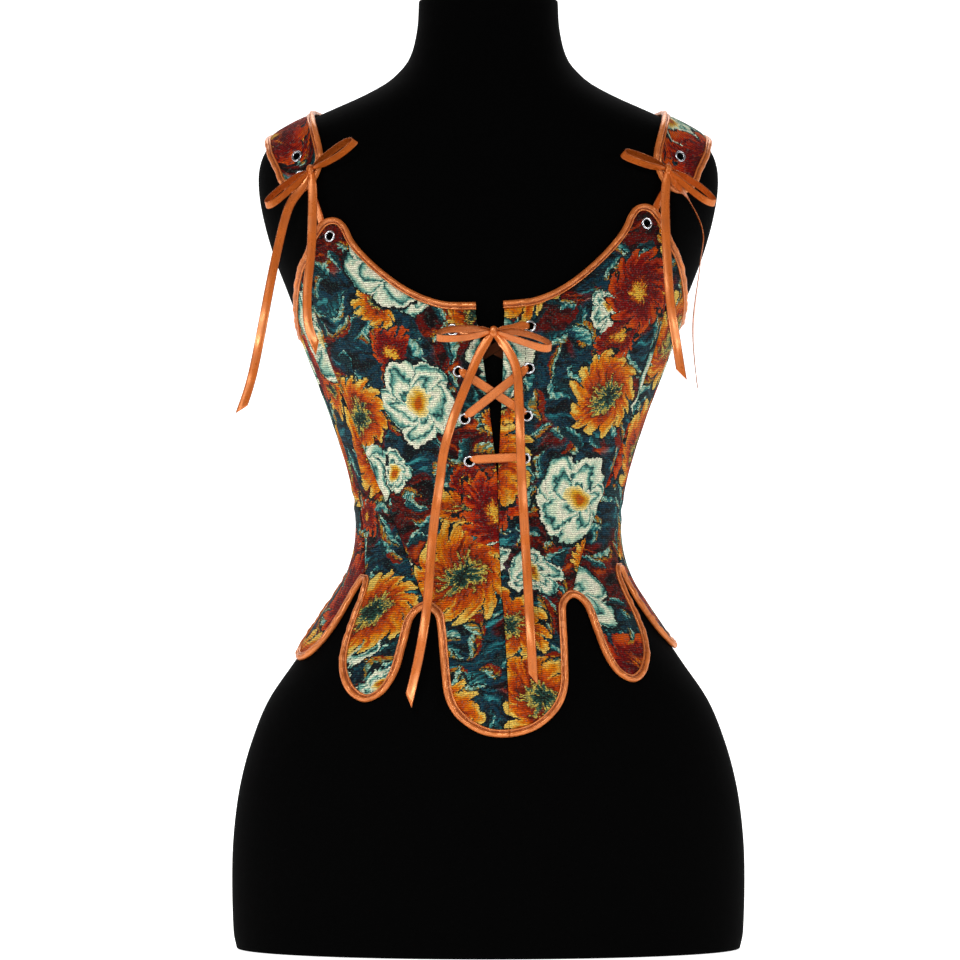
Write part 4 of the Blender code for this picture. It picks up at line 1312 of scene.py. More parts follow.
    def build_panel(self, side: Side, index: int, bottom: list[Place], upper: list[Place],
                    inner: list[Place], outer: list[Place], cloth: Material, thread: Material) -> None:
        """Make one panel between its four edges, each a list of places.

        Args:
            side: the half.
            index: which panel it is.
            bottom: its lower edge.
            upper: its upper edge.
            inner: its edge towards the front.
            outer: its edge towards the back.
            cloth: its material.
            thread: the stitches' material.
        """
        lay, panel = self.layout, self.panels[index]
        sign = side.value
        columns, rows = panel.columns, panel.rows
        places, points, normals, widths = [], [], [], []
        for j in range(rows + 1):
            t = j / rows
            row = []
            for i in range(columns + 1):
                s = i / columns
                mixed = []
                for j_ in (0, 1):
                    plain = (1 - s) * inner[j][j_] + s * outer[j][j_]
                    sag = bottom[i][j_] - (1 - s) * bottom[0][j_] - s * bottom[-1][j_]
                    swell = upper[i][j_] - (1 - s) * upper[0][j_] - s * upper[-1][j_]
                    mixed.append(plain + (1 - t) ** 3 * sag + t ** 3 * swell)
                row.append((mixed[0], mixed[1]))
            frames = [lay.frame(sign * phi, h) for phi, h in row]
            places.append(row)
            points.append([frame[0] for frame in frames])
            normals.append([frame[1] for frame in frames])
            widths.append(lay.scale(row[columns // 2][0], row[columns // 2][1])[0])
        faces = self.face_heights(side, index, places, points, widths)

        bm, where = cloth_blank(columns, rows)
        layer = bm.loops.layers.uv.active
        middle_phi = places[rows // 2][columns // 2][0]
        at_u, at_v = self.pattern_at[index]
        at_u += self.pattern_right * (side is Side.RIGHT)
        for face in bm.faces:
            for loop in face.loops:
                i, j, _is_face = where[loop.vert]
                phi, h = places[j][i]
                u = (phi - middle_phi) * widths[j] * sign + at_u
                loop[layer].uv = (u * MM, (h * self.pattern_tall + at_v) * MM)
        for vert, (i, j, is_face) in where.items():
            lift = faces[j][i] if is_face else lay.cloth_back
            vert.co = (points[j][i] + normals[j][i] * lift) * MM
        bmesh.ops.recalc_face_normals(bm, faces=bm.faces)
        name = f"{panel.name}_{side.word}"
        obj = make_object(f"{name}_cloth", bm, cloth, [name])
        if index == 0:
            frames = [self.eyelet_frame(side, place) for place in self.eyelet_places()]
            cut_holes(obj, frames)
            self.sew_channels(side, places, points, normals, faces, thread)

    def face_heights(self, side: Side, index: int, places: list, points: list,
                     widths: list) -> list[list[float]]:
        """Lift of the cloth's face at each place of a panel's grid.

        Args:
            side: the half.
            index: which panel it is.
            places: the grid's places.
            points: the form's points under them.
            widths: millimetres of cloth a degree, for each row.

        Returns:
            The lifts, row by row.
        """
        rows, columns = len(places) - 1, len(places[0]) - 1
        tall = [lengths_along([points[j][i] for j in range(rows + 1)]) for i in range(columns + 1)]
        heights = []
        for j in range(rows + 1):
            wide = lengths_along(points[j])
            row = []
            for i in range(columns + 1):
                phi, h = places[j][i]
                from_edge = min(wide[i], wide[-1] - wide[i], tall[i][j], tall[i][-1] - tall[i][j])
                from_front = wide[i] if index == 0 else math.inf
                row.append(self.layout.cloth_face + self.relief(phi, h, widths[j], from_edge,
                                                                from_front, side))
            heights.append(row)
        return heights

    def eyelet_places(self) -> list[Place]:
        """Where the eyelets of one half are: the lacing rows, then the shoulder tip.

        Returns:
            The places.
        """
        lay = self.layout
        return [(lay.opening_phi(h) + self.eyelet_from_edge / lay.scale(5.0, h)[0], h)
                for h in self.lace_heights] + [self.tip_eyelet]

    def eyelet_frame(self, side: Side, place: Place) -> Frame:
        """Point on the cloth's back face, and the normal, at a place."""
        point, normal = self.layout.frame(side.value * place[0], place[1])
        return point + normal * self.layout.cloth_back, normal

    def sew_channels(self, side: Side, places: list, points: list, normals: list, faces: list,
                     thread: Material) -> None:
        """Lines of dark stitches beside the centre front, that hold the bones and the eyelets.

        Args:
            side: the half.
            places: the front panel's places.
            points: the form's points under them.
            normals: their normals.
            faces: lifts of the cloth's face.
            thread: the stitches' material.
        """
        bm = bmesh.new()
        stitching = Stitching(2.4, 0.9, 0.3)
        for line in self.channel_lines:
            path, outs = [], []
            for j in range(2, len(places) - 1):
                wide = lengths_along(points[j])
                if wide[-1] < line + 6.0:
                    continue
                i = next(k for k in range(len(wide) - 1) if wide[k + 1] >= line)
                f = (line - wide[i]) / (wide[i + 1] - wide[i])
                lift = faces[j][i] * (1 - f) + faces[j][i + 1] * f - 0.05
                point = points[j][i].lerp(points[j][i + 1], f)
                path.append(point + normals[j][i] * lift)
                outs.append(normals[j][i])
            stitching.add(bm, path, outs)
        make_object(f"channel_stitches_{side.word}", bm, thread)


def cut_holes(obj: Piece, frames: Sequence[Frame], radius: float = 3.35) -> None:
    """Cut round holes through a cloth piece where its eyelets go.

    Args:
        obj: the cloth piece.
        frames: point and normal of each hole.
        radius: the holes' radius, in mm.
    """
    bm = bmesh.new()
    for frame in frames:
        bmesh.ops.create_cone(bm, cap_ends=True, segments=20, radius1=radius * MM,
                              radius2=radius * MM, depth=9 * MM, matrix=stand(frame))
    mesh = bpy.data.meshes.new("punch")
    bm.to_mesh(mesh)
    bm.free()
    punch = bpy.data.objects.new("punch", mesh)
    bpy.context.scene.collection.objects.link(punch)
    cut = obj.modifiers.new("eyelet_holes", "BOOLEAN")
    cut.operation, cut.object, cut.solver = "DIFFERENCE", punch, "EXACT"
    bpy.context.view_layer.update()
    holed = bpy.data.meshes.new_from_object(
        obj.evaluated_get(bpy.context.evaluated_depsgraph_get()))
    obj.modifiers.clear()
    obj.data = holed
    holed.shade_smooth()
    bpy.data.objects.remove(punch, do_unlink=True)


@dataclass
class Straps:
    """Shoulder straps with a rounded front end."""

    layout: VestLayout
    stations: tuple = (
        (-90, 105.0, 18.5), (-60, 112.0, 18.5), (-30, 127.0, 18.5), (0, 140.5, 18.5),
        (20, 140.0, 18.5), (40, 133.0, 17.5), (57, 130.5, 17.0),
    )
    front: float = 57.0
    back: float = -90.0
    end_round: float = 14.0
    mm_a_degree: float = 1.15
    columns: int = 20
    rows: int = 90
    eyelet_angles: tuple = (36.0, 47.0)
    cell_mm: Place = (1.1, 2.0)
    edge_round: float = 0.8
    edge_reach: float = 1.4
    pattern_at: dict = field(default_factory=lambda: {Side.LEFT: (1736.0, 112.0),
                                                      Side.RIGHT: (1730.0, 90.0)})

    def end(self, s: float, border: float) -> float:
        """Angle of the front end at s across the strap.

        Args:
            s: how far across, from 0 to 1.
            border: the binding's share, in mm.

        Returns:
            The angle.
        """
        across = min(1.0, abs(2 * s - 1))
        bow = self.end_round * (1 - math.sqrt(1 - across ** 2 * 0.96))
        return self.front - border / self.mm_a_degree - bow

    def frame(self, side: Side, s: float, t: float, border: float) -> Frame:
        """Point and normal at s across and t along the strap's cloth.

        Args:
            side: which strap.
            s: how far across, from 0 to 1.
            t: how far along, from the back, from 0 to 1.
            border: width left to the binding, in mm.

        Returns:
            The point and the normal.
        """
        angle = self.back + t * (self.end(s, border) - self.back)
        centre, half = read_table(self.stations, angle)
        x = centre + (2 * s - 1) * (half - border)
        point, normal = self.layout.form.shoulder_frame(side.value * x, angle)
        return point, normal

    def border(self) -> float:
        """Width that the binding and its gap take from each edge."""
        return self.layout.binding_width + self.layout.seam_gap

    def eyelet_frame(self, side: Side, angle: float) -> Frame:
        """Point on the cloth's back face, and the normal, at an eyelet.

        Args:
            side: which strap.
            angle: the eyelet's angle.

        Returns:
            The point and the normal.
        """
        centre = read_table(self.stations, angle)[0]
        point, normal = self.layout.form.shoulder_frame(side.value * centre, angle)
        return point + normal * self.layout.cloth_back, normal

    def build(self, cloth: Material) -> None:
        """Make both straps' cloth.

        Args:
            cloth: their material.
        """
        for side in Side:
            bm, where = cloth_blank(self.columns, self.rows)
            layer = bm.loops.layers.uv.active
            at_u, at_v = self.pattern_at[side]
            for face in bm.faces:
                for loop in face.loops:
                    i, j, _is_face = where[loop.vert]
                    loop[layer].uv = ((i * self.cell_mm[0] + at_u) * MM,
                                      (j * self.cell_mm[1] + at_v) * MM)
            inset = self.layout.cloth_inset
            frames = {(i, j): self.frame(side, i / self.columns, j / self.rows, inset)
                      for i in range(self.columns + 1) for j in range(self.rows + 1)}
            for vert, (i, j, is_face) in where.items():
                point, normal = frames[(i, j)]
                edge = min(i, self.columns - i) * self.cell_mm[0] / self.edge_reach
                face = self.layout.cloth_face - self.edge_round * math.exp(-edge ** 2)
                vert.co = (point + normal * (face if is_face else self.layout.cloth_back)) * MM
            bmesh.ops.recalc_face_normals(bm, faces=bm.faces)
            name = f"strap_{side.word}"
            obj = make_object(f"{name}_cloth", bm, cloth, [name])
            cut_holes(obj, [self.eyelet_frame(side, angle) for angle in self.eyelet_angles])


@dataclass
class Binding:
    """Satin binding folded over every raw edge, sewn down near its inner side."""

    layout: VestLayout
    straps: Straps
    step: float = 1.3
    # Going round the section: how far from the inner edge to the outer one, and the lift
    section: tuple = (
        (1.0, 2.1), (0.98, 2.95), (0.92, 3.7), (0.82, 4.35), (0.69, 4.65), (0.56, 4.5),
        (0.46, 3.9), (0.39, 3.05), (0.34, 3.4), (0.26, 3.75), (0.19, 3.75), (0.145, 3.55),
        (0.13, 3.1), (0.18, 1.6), (0.25, 0.75), (0.5, 0.6), (0.9, 0.75), (0.99, 1.4),
    )
    groove: Place = (0.39, 3.2)
    satin_mm: float = 5.4
    # The bar tack at each neck end: its distance from the end, and its top
    tack_at: float = 10.0
    tack_lift: float = 4.65

    def build(self, satin: Material, thread: Material) -> None:
        """Make the hem, top and strap bindings of both halves.

        Args:
            satin: the bindings' material.
            thread: the stitches' material.
        """
        lay = self.layout
        for side in Side:
            for name, line, way in (("hem_binding", lay.hem, 1), ("top_binding", lay.top, -1)):
                inner, outer, normals = self.edge_frames(side, line, way)
                self.make(f"{name}_{side.word}", inner, outer, normals, satin, thread,
                          tack=name == "top_binding")
            inner, outer, normals = self.strap_frames(side)
            self.make(f"strap_binding_{side.word}", inner, outer, normals, satin, thread)

    def edge_frames(self, side: Side, line: list[Place], way: int) -> tuple[list[Vector], list[Vector],
                    list[Vector]]:
        """Inner points, outer points and normals along a hem or top edge.

        Args:
            side: the half.
            line: the edge's line.
            way: 1 for the hem and -1 for the top edge.

        Returns:
            The three lists.
        """
        lay = self.layout
        inner_line = [lay.inset(line, i, lay.binding_width, way) for i in range(len(line))]
        length = lengths_along([lay.at(*place, 0.0) for place in line])[-1]
        inner, outer, normals = [], [], []
        for k in lay.even(line, 0, len(line) - 1, round(length / self.step)):
            out_place, in_place = self.clear(pick(line, k)), self.clear(pick(inner_line, k))
            point, normal = lay.frame(side.value * in_place[0], in_place[1])
            inner.append(point)
            outer.append(lay.frame(side.value * out_place[0], out_place[1])[0])
            normals.append(normal)
        return inner, outer, normals

    def clear(self, place: Place) -> Place:
        """Keep the two halves apart at the centre front and the centre back."""
        gap = 0.1 / self.layout.scale(*place)[0]
        return min(max(place[0], gap), 180.0 - gap), place[1]

    def strap_frames(self, side: Side) -> tuple[list[Vector], list[Vector], list[Vector]]:
        """Inner points, outer points and normals round a strap.

        Args:
            side: which strap.

        Returns:
            The three lists.
        """
        straps, border = self.straps, self.straps.border()
        along, round_end = 96, 40
        route = [(0.0, i / along) for i in range(along)]
        route += [(0.5 - 0.5 * math.cos(math.pi * i / round_end), 1.0)
                  for i in range(round_end + 1)]
        route += [(1.0, i / along) for i in range(along - 1, -1, -1)]
        frames = [straps.frame(side, s, t, border) for s, t in route]
        inner = [frame[0] for frame in frames]
        normals = [frame[1] for frame in frames]
        outer, last = [], len(route) - 1
        for i in range(len(route)):
            ahead = inner[min(i + 1, last)] - inner[max(i - 1, 0)]
            away = ahead.cross(normals[i]).normalized()
            middle = straps.frame(side, 0.5, 0.85 * route[i][1], border)[0]
            if away.dot(inner[i] - middle) < 0:
                away = -away
            outer.append(inner[i] + away * self.layout.binding_width)
        return inner, outer, normals

    def make(self, name: str, inner: list[Vector], outer: list[Vector], normals: list[Vector],
             satin: Material, thread: Material, tack: bool = False) -> None:
        """Make one length of binding and the stitches in its groove.

        Args:
            name: the node that it replaces.
            inner: points of the form under its inner edge.
            outer: points under its outer edge.
            normals: outward normals.
            satin: the binding's material.
            thread: the stitches' material.
            tack: whether a bar tack crosses it near its first end.
        """
        measure = lengths_along(outer)
        sections, uvs = [], []
        size = len(self.section)
        for i, (low, high, normal) in enumerate(zip(inner, outer, normals)):
            run = measure[i]
            # Puckers of two sizes, each unevenly spaced
            pucker = (0.26 * math.sin(run / 2.3 + 1.7 * math.sin(run / 11.0))
                      + 0.16 * math.sin(run / 1.1 + 2.0 * math.sin(run / 7.0)))
            ring, ring_uv = [], []
            for k in range(size + 1):
                across, lift = self.section[k % size]
                full = 1.0 if 0.3 < across < 0.95 and lift > 3.0 else 0.0
                ring.append(low.lerp(high, across) + normal * (lift + full * pucker))
                ring_uv.append((run, (across - 0.5) * self.satin_mm))
            sections.append(ring[:size])
            uvs.append(ring_uv)
        make_object(f"{name}_satin", tube_mesh(sections, uvs), satin, [name])
        bm = bmesh.new()
        across, lift = self.groove
        path = [low.lerp(high, across) + normal * lift
                for low, high, normal in zip(inner, outer, normals)]
        Stitching().add(bm, path, normals)
        if tack:
            i = next(k for k, run in enumerate(measure) if run > self.tack_at)
            for shift in (0, 1):
                low, high, normal = inner[i + shift], outer[i + shift], normals[i]
                bar = [low.lerp(high, f) + normal * (self.tack_lift - 1.9 * (2 * f - 1) ** 4)
                       for f in (0.15, 0.35, 0.55, 0.75, 0.98)]
                Stitching(1.9, 0.1, 0.3).add(bm, bar, [normal] * 5)
        make_object(f"{name}_stitches", bm, thread)


@dataclass
class Eyelets:
    """Pressed metal eyelets, each a rolled rim in front and a barrel through the cloth."""

    cloth: ClothVest
    straps: Straps
    # Radius and height of the section, going round it
    section: tuple = (
        (4.3, 2.25), (4.25, 2.6), (3.95, 2.95), (3.5, 3.08), (3.05, 2.98), (2.75, 2.65),
        (2.65, 2.2), (2.65, -0.3), (3.0, -0.3), (3.0, 2.1), (3.6, 2.2),
    )

    def build(self, metal: Material) -> None:
        """Make every eyelet.

        Args:
            metal: their material.
        """
        for side in Side:
            places = self.cloth.eyelet_places()
            for i, place in enumerate(places[:-1]):
                self.make(f"lace_eyelet_{i + 1}_{side.word}",
                          self.cloth.eyelet_frame(side, place), metal)
            self.make(f"tip_eyelet_{side.word}",
                      self.cloth.eyelet_frame(side, places[-1]), metal)
            for i, angle in enumerate(self.straps.eyelet_angles):
                self.make(f"strap_eyelet_{i + 1}_{side.word}",
                          self.straps.eyelet_frame(side, angle), metal)

    def make(self, name: str, frame: Frame, metal: Material) -> None:
        """Spin one eyelet about its axis.

        Args:
            name: the node that it replaces.
            frame: the point that it stands on, and the normal.
            metal: its material.
        """
        bm = bmesh.new()
        outline = bmesh.ops.create_circle(bm, segments=len(self.section), radius=1.0)["verts"]
        for vert, (radius, up) in zip(outline, self.section):
            vert.co = (radius * MM, 0.0, up * MM)
        bmesh.ops.spin(bm, geom=bm.verts[:] + bm.edges[:], cent=(0, 0, 0), axis=(0, 0, 1),
                       angle=2 * math.pi, steps=36, use_merge=True)
        bmesh.ops.recalc_face_normals(bm, faces=bm.faces)
        bmesh.ops.transform(bm, matrix=stand(frame), verts=bm.verts)
        make_object(f"{name}_ring", bm, metal, [name])


@dataclass
class Ribbon:
    """Double-faced satin ribbon with a slightly thick woven edge."""

    width: float = 6.5
    half_thick: float = 0.17
    # Across the section, and the height in half thicknesses
    section: tuple = (
        (-1.0, 0.0), (-0.98, 1.0), (-0.94, 1.55), (-0.86, 1.1), (-0.6, 1.0), (-0.3, 1.0),
        (0.0, 1.0), (0.3, 1.0), (0.6, 1.0), (0.86, 1.1), (0.94, 1.55), (0.98, 1.0), (1.0, 0.0),
        (0.98, -1.0), (0.94, -1.55), (0.86, -1.1), (0.6, -1.0), (0.3, -1.0), (0.0, -1.0),
        (-0.3, -1.0), (-0.6, -1.0), (-0.86, -1.1), (-0.94, -1.55), (-0.98, -1.0),
    )

    def mesh(self, centres: Sequence[Vector], outs: Sequence[Vector],
             widths: Sequence[float] | None = None, cups: Sequence[float] | None = None,
             slant: float = 0.0) -> Mesh:
        """Ribbon along points.

        Args:
            centres: points of its middle line, in mm.
            outs: the way that its face looks at each point.
            widths: for each point, the part of the full width that shows.
            cups: for each point, how far its edges bend away from its face, in mm.
            slant: how far one corner of the far end stands ahead of the other, in mm.

        Returns:
            The bmesh.
        """
        last = len(centres) - 1
        measure = lengths_along(centres)
        sections, uvs = [], []
        for i, (centre, out) in enumerate(zip(centres, outs)):
            along = (centres[min(i + 1, last)] - centres[max(i - 1, 0)]).normalized()
            side = along.cross(out).normalized()
            face = side.cross(along).normalized()
            part = widths[i] if widths else 1.0
            cup = cups[i] if cups else 0.0
            near_end = max(0.0, 1.0 - (measure[-1] - measure[i]) / 20.0)
            ring, ring_uv = [], []
            for across, high in self.section:
                bend = -cup * (across * across - 0.4)
                shift = (slant * across - abs(slant)) * near_end ** 2 * 0.5
                ring.append(centre + side * (across * self.width / 2 * part) + along * shift
                            + face * (high * self.half_thick + bend))
                ring_uv.append((measure[i], across * self.width / 2))
            sections.append(ring)
            uvs.append(ring_uv + ring_uv[:1])
        return tube_mesh(sections, uvs)


@dataclass
class Lacing:
    """Ribbon lacing through the front eyelets and the ties at the shoulder tips."""

    cloth: ClothVest
    ribbon: Ribbon
    over_rise: float = 1.3
    # Distance from the eyelet and lift, on the way up out of it
    climb: tuple = ((0.4, 2.4), (1.9, 4.2), (4.2, 5.0))
    crest: Place = (8.5, 4.9)
    middle_lift: float = 4.8

    def eyelet_points(self, side: Side) -> list[Vector]:
        """Points of the form under the lacing eyelets, from the lowest up."""
        return [self.cloth.layout.frame(side.value * phi, h)[0]
                for phi, h in self.cloth.eyelet_places()[:-1]]

    def strand(self, name: str, start: Vector, end: Vector, rise: float, satin: Material,
               nodes: Sequence[str]) -> None:
        """One strand from eyelet to eyelet, which comes up out of one and goes down the other.

        Args:
            name: the piece's name.
            start: the form's point under one eyelet.
            end: the form's point under the other.
            rise: how far its middle is lifted over another strand, in mm.
            satin: its material.
            nodes: the nodes that it replaces.
        """
        form = self.cloth.layout.form
        span = math.hypot(end.x - start.x, end.z - start.z)
        half = [*self.climb, (self.crest[0], self.crest[1] + rise * 0.5)]
        whole = [*half, (span / 2, self.middle_lift + rise)]
        whole += [(span - along, lift) for along, lift in reversed(half)]
        rows = [(start.x + (end.x - start.x) * along / span,
                 start.z + (end.z - start.z) * along / span, lift) for along, lift in whole]
        centres, outs = zip(*(form.seen(*row) for row in spline_rows(rows, 1.2)))
        measure = lengths_along(centres)
        widths, cups = [], []
        for run in measure:
            near = min(run, measure[-1] - run)
            open_by = min(1.0, near / 6.5)
            widths.append(0.62 + 0.38 * open_by ** 0.8)
            cups.append(0.9 * (1 - open_by))
        bm = self.ribbon.mesh(centres, outs, widths, cups)
        make_object(name, bm, satin, nodes)

    def build(self, satin: Material, shaded_satin: Material, knot_at: Vector) -> None:
        """Make the lacing that shows in front, the crossing behind the gap and the leads.

        Args:
            satin: the lacing's material.
            shaded_satin: a darker, duller copy of the satin, with painted shade, for what crosses
                behind the gap.
            knot_at: the front knot's centre.
        """
        left, right = self.eyelet_points(Side.LEFT), self.eyelet_points(Side.RIGHT)
        self.strand("lace_bar_ribbon", left[0], right[0], 0.0, satin, ["lace_bar"])
        self.strand("lace_cross_under_ribbon", left[2], right[1], 0.0, satin,
                    ["lace_cross_under"])
        self.strand("lace_cross_over_ribbon", left[1], right[2], self.over_rise, satin,
                    ["lace_cross_over"])
        form = self.cloth.layout.form
        # The strands behind the gap take the copy of the satin with painted shade
        for number, (a, b, lift) in enumerate(((left[3], right[2], 0.45),
                                               (left[2], right[3], 0.9))):
            rows = [(a.x + (b.x - a.x) * f, a.z + (b.z - a.z) * f, lift)
                    for f in (0.2, 0.35, 0.5, 0.65, 0.8)]
            centres, outs = zip(*(form.seen(*row) for row in spline_rows(rows, 2.0)))
            bm = self.ribbon.mesh(centres, outs)
            make_object(f"lace_behind_{number + 1}_ribbon", bm, shaded_satin)
        for side, eyelet in ((Side.LEFT, left[3]), (Side.RIGHT, right[3])):
            end_x = knot_at.x + side.value * 1.2
            rows = [(eyelet.x, eyelet.z, 2.4), (eyelet.x - side.value * 2.0, eyelet.z, 4.3),
                    (eyelet.x - side.value * 5.0, eyelet.z + 0.1, 5.1),
                    ((eyelet.x + end_x) / 2, (eyelet.z + knot_at.z) / 2, 5.4),
                    (end_x, knot_at.z, 6.6)]
            centres, outs = zip(*(form.seen(*row) for row in spline_rows(rows, 1.2)))
            measure = lengths_along(centres)
            widths = [0.5 + 0.5 * min(1.0, min(run, measure[-1] - run) / 6.0) for run in measure]
            bm = self.ribbon.mesh(centres, outs, widths)
            make_object(f"lace_lead_{side.word}_ribbon", bm, satin,
                        [f"lace_lead_{side.word}"])
        for side, rows in ((Side.LEFT, ((-117.3, 512.0, 0.9), (-118.6, 520.6, 2.0),
                                        (-122.3, 532.0, 2.8), (-126.0, 543.3, 2.0),
                                        (-127.5, 549.0, 0.9))),
                           (Side.RIGHT, ((117.5, 521.0, 0.9), (118.6, 529.5, 2.0),
                                         (122.1, 537.0, 2.8), (125.6, 543.3, 2.0),
                                         (127.0, 549.0, 0.9)))):
            centres, outs = zip(*(form.seen(*row) for row in spline_rows(rows, 1.5)))
            bm = self.ribbon.mesh(centres, outs, [0.85] * len(centres))
            make_object(f"shoulder_tie_{side.word}_ribbon", bm, satin,
                        [f"shoulder_tie_{side.word}"])


@dataclass
class Loop:
    """One bow loop: the way it leaves the knot, its reach, how far it opens, tilt and droop."""

    aim: float
    forward: float
    length: float
    opening: float
    tilt: float
    droop: float = 0.0


@dataclass
class Tail:
    """One hanging end of ribbon: rows of x, y, z and the turn of its face, and its cut."""

    rows: tuple
    slant: float = 7.0


@dataclass
class Bow:
    """A bow: its name, the knot's place and size, its loops and its tails."""

    name: str
    knot: tuple[float, float, float]
    loops: dict[str, Loop]
    tails: dict[str, Tail]
    knot_size: tuple[float, float, float] = (3.3, 2.6, 3.9)


@dataclass
class Bows:
    """The three bows."""

    form: FormShape
    ribbon: Ribbon
    bows: tuple = (
        Bow("front_knot", (3.5, 440.8, 9.8), {
            "front_loop_left": Loop(182.0, 0.10, 40.0, 8.6, 45.0, 1.8),
            "front_loop_right": Loop(-9.0, 0.10, 41.0, 8.4, 45.0, 4.5),
        }, {
            "front_tail_left": Tail((
                (1.8, -119.5, 438.6, 0), (-7.0, -119, 424, 0), (-17.0, -117.5, 400, 0),
                (-25.5, -116, 378, 0), (-31.5, -114, 356, 0), (-34.0, -112, 337, 0),
                (-39.0, -109, 300, 0), (-43.0, -107, 250, 0), (-48.5, -106, 215, 0),
                (-57.0, -106, 178, 0)), -9.0),
            "front_tail_right": Tail((
                (5.2, -120, 438.6, 0), (14.0, -121, 427, 0), (19.5, -120, 414, 0),
                (21.2, -118, 394, 0), (22.4, -115, 360, 0), (23.6, -112, 330, 0),
                (26.0, -109, 290, 0), (28.8, -107, 240, 0), (31.6, -106, 193, 0)), -9.0),
        }),
        Bow("shoulder_knot_left", (-126.5, 557.0, 7.3), {
            "shoulder_loop_inner_left": Loop(32.0, 0.42, 41.0, 6.6, 49.0, 0.0),
            "shoulder_loop_outer_left": Loop(218.0, 0.42, 42.0, 6.6, 49.0, 2.0),
        }, {
            "shoulder_tail_outer_left": Tail((
                (-128.3, -60.8, 552.0, 0), (-132.5, -61.5, 544, 5), (-141.5, -63, 530, 10),
                (-149.0, -65, 502, 12), (-156.0, -66, 468, 10), (-164.2, -66, 425, 5),
                (-169.5, -66, 403, 0), (-176.2, -66, 383, 0)), 8.0),
            "shoulder_tail_inner_left": Tail((
                (-125.4, -61.8, 551.6, 0), (-124.5, -66.5, 538, 0), (-124.5, -71.5, 520, 0),
                (-125.3, -73.5, 500, 5), (-128.0, -74.5, 470, 10), (-127.0, -75, 446, 10),
                (-119.0, -76, 426, 0)), 9.0),
        }),
        Bow("shoulder_knot_right", (127.5, 557.5, 7.3), {
            "shoulder_loop_inner_right": Loop(162.0, 0.42, 37.0, 6.2, 48.0, 0.0),
            "shoulder_loop_outer_right": Loop(-35.0, 0.35, 42.0, 7.2, 48.0, 2.0),
        }, {
            "shoulder_tail_outer_right": Tail((
                (129.6, -60.2, 552.4, 10), (134.0, -61, 545.5, 40), (142.5, -62.5, 535, 75),
                (152.0, -65, 513, 85), (150.0, -67, 490, 88), (144.8, -69, 444, 88),
                (148.0, -70, 401.5, 84)), 4.0),
            "shoulder_tail_inner_right": Tail((
                (126.6, -61.1, 552.1, 0), (125.2, -66, 538, 0), (125.2, -70.5, 520, 0),
                (126.0, -72.5, 500, 0), (128.2, -73.5, 466, 5), (132.5, -73, 436, 0),
                (137.2, -72, 407, 0)), -9.0),
        }),
    )
    steps: int = 64

    def build(self, satin: Material) -> None:
        """Make every bow.

        Args:
            satin: their material.
        """
        for bow in self.bows:
            centre, normal = self.form.seen(*bow.knot)
            self.make_knot(bow, centre, normal, satin)
            for name, loop in bow.loops.items():
                self.make_loop(name, bow, loop, centre, satin)
            for name, tail in bow.tails.items():
                self.make_tail(name, tail, centre, satin)

    def make_knot(self, bow: Bow, centre: Vector, normal: Vector, satin: Material) -> None:
        """The knot: one turn of ribbon drawn tight, with soft pleats down it.

        Args:
            bow: the bow.
            centre: its knot's centre.
            normal: the way that the knot faces.
            satin: its material.
        """
        side = Vector((0, 0, 1)).cross(normal).normalized()
        down = side.cross(normal)
        bm = bmesh.new()
        layer = bm.loops.layers.uv.new("UVMap")
        bmesh.ops.create_uvsphere(bm, u_segments=48, v_segments=28, radius=1.0)
        width, depth, height = bow.knot_size
        place = {}
        for vert in bm.verts:
            x, y, z = vert.co
            place[vert] = (z * height, x * width)
            pinch = 1.0 - 0.16 * math.cos(math.pi * z * 0.5) ** 2
            pleat = 1.0 + 0.07 * math.sin(x * 7.0 + z * 2.2) * (1 - z * z)
            vert.co = (centre + side * (x * width * pinch * pleat)
                       + normal * (y * depth * pleat) + down * (z * height)) * MM
        for face in bm.faces:
            for loop in face.loops:
                u, v = place[loop.vert]
                loop[layer].uv = (u * MM, v * MM)
        make_object(f"{bow.name}_ribbon", bm, satin, [bow.name])

    def make_loop(self, name: str, bow: Bow, loop: Loop, centre: Vector, satin: Material) -> None:
        """One loop: the ribbon goes out from the knot and comes back over itself.

        Args:
            name: the node that it replaces.
            bow: the bow.
            loop: the loop's sizes.
            centre: the knot's centre.
            satin: its material.
        """
        aim = math.radians(loop.aim)
        away = Vector((math.cos(aim), -loop.forward, math.sin(aim))).normalized()
        front = Vector((0, -1, 0))
        front = (front - away * front.dot(away)).normalized()
        rise = away.cross(front)
        if rise.z < 0:
            rise = -rise
        tilt = math.radians(loop.tilt)
        across = front * math.cos(tilt) - rise * math.sin(tilt)
        size = bow.knot_size
        start = 0.2 + 1 / math.hypot(away.x / size[0], away.y / size[1], away.z / size[2])
        centres, outs, widths, cups = [], [], [], []
        for k in range(self.steps + 1):
            turn = math.pi * k / self.steps
            part = math.sin(turn)
            reach = start - 0.8 + (loop.length - start + 0.8) * part
            open_by = -math.cos(turn) * (0.75 + (loop.opening - 0.75) * part ** 0.8)
            sag = Vector((0, 0, -loop.droop * (reach / loop.length) ** 2))
            ripple = across * (0.35 * math.sin(turn * 5.0 + loop.aim) * part)
            centres.append(centre + away * reach + across * open_by + sag + ripple)
            outs.append(away * math.sin(turn) - across * math.cos(turn))
            wide = min(1.0, (reach - start + 1.2) / 9.0)
            widths.append(0.42 + 0.58 * max(0.0, wide) ** 0.7)
            cups.append(1.1 * (1 - max(0.0, wide)))
        bm = self.ribbon.mesh(centres, outs, widths, cups)
        make_object(f"{name}_ribbon", bm, satin, [name])

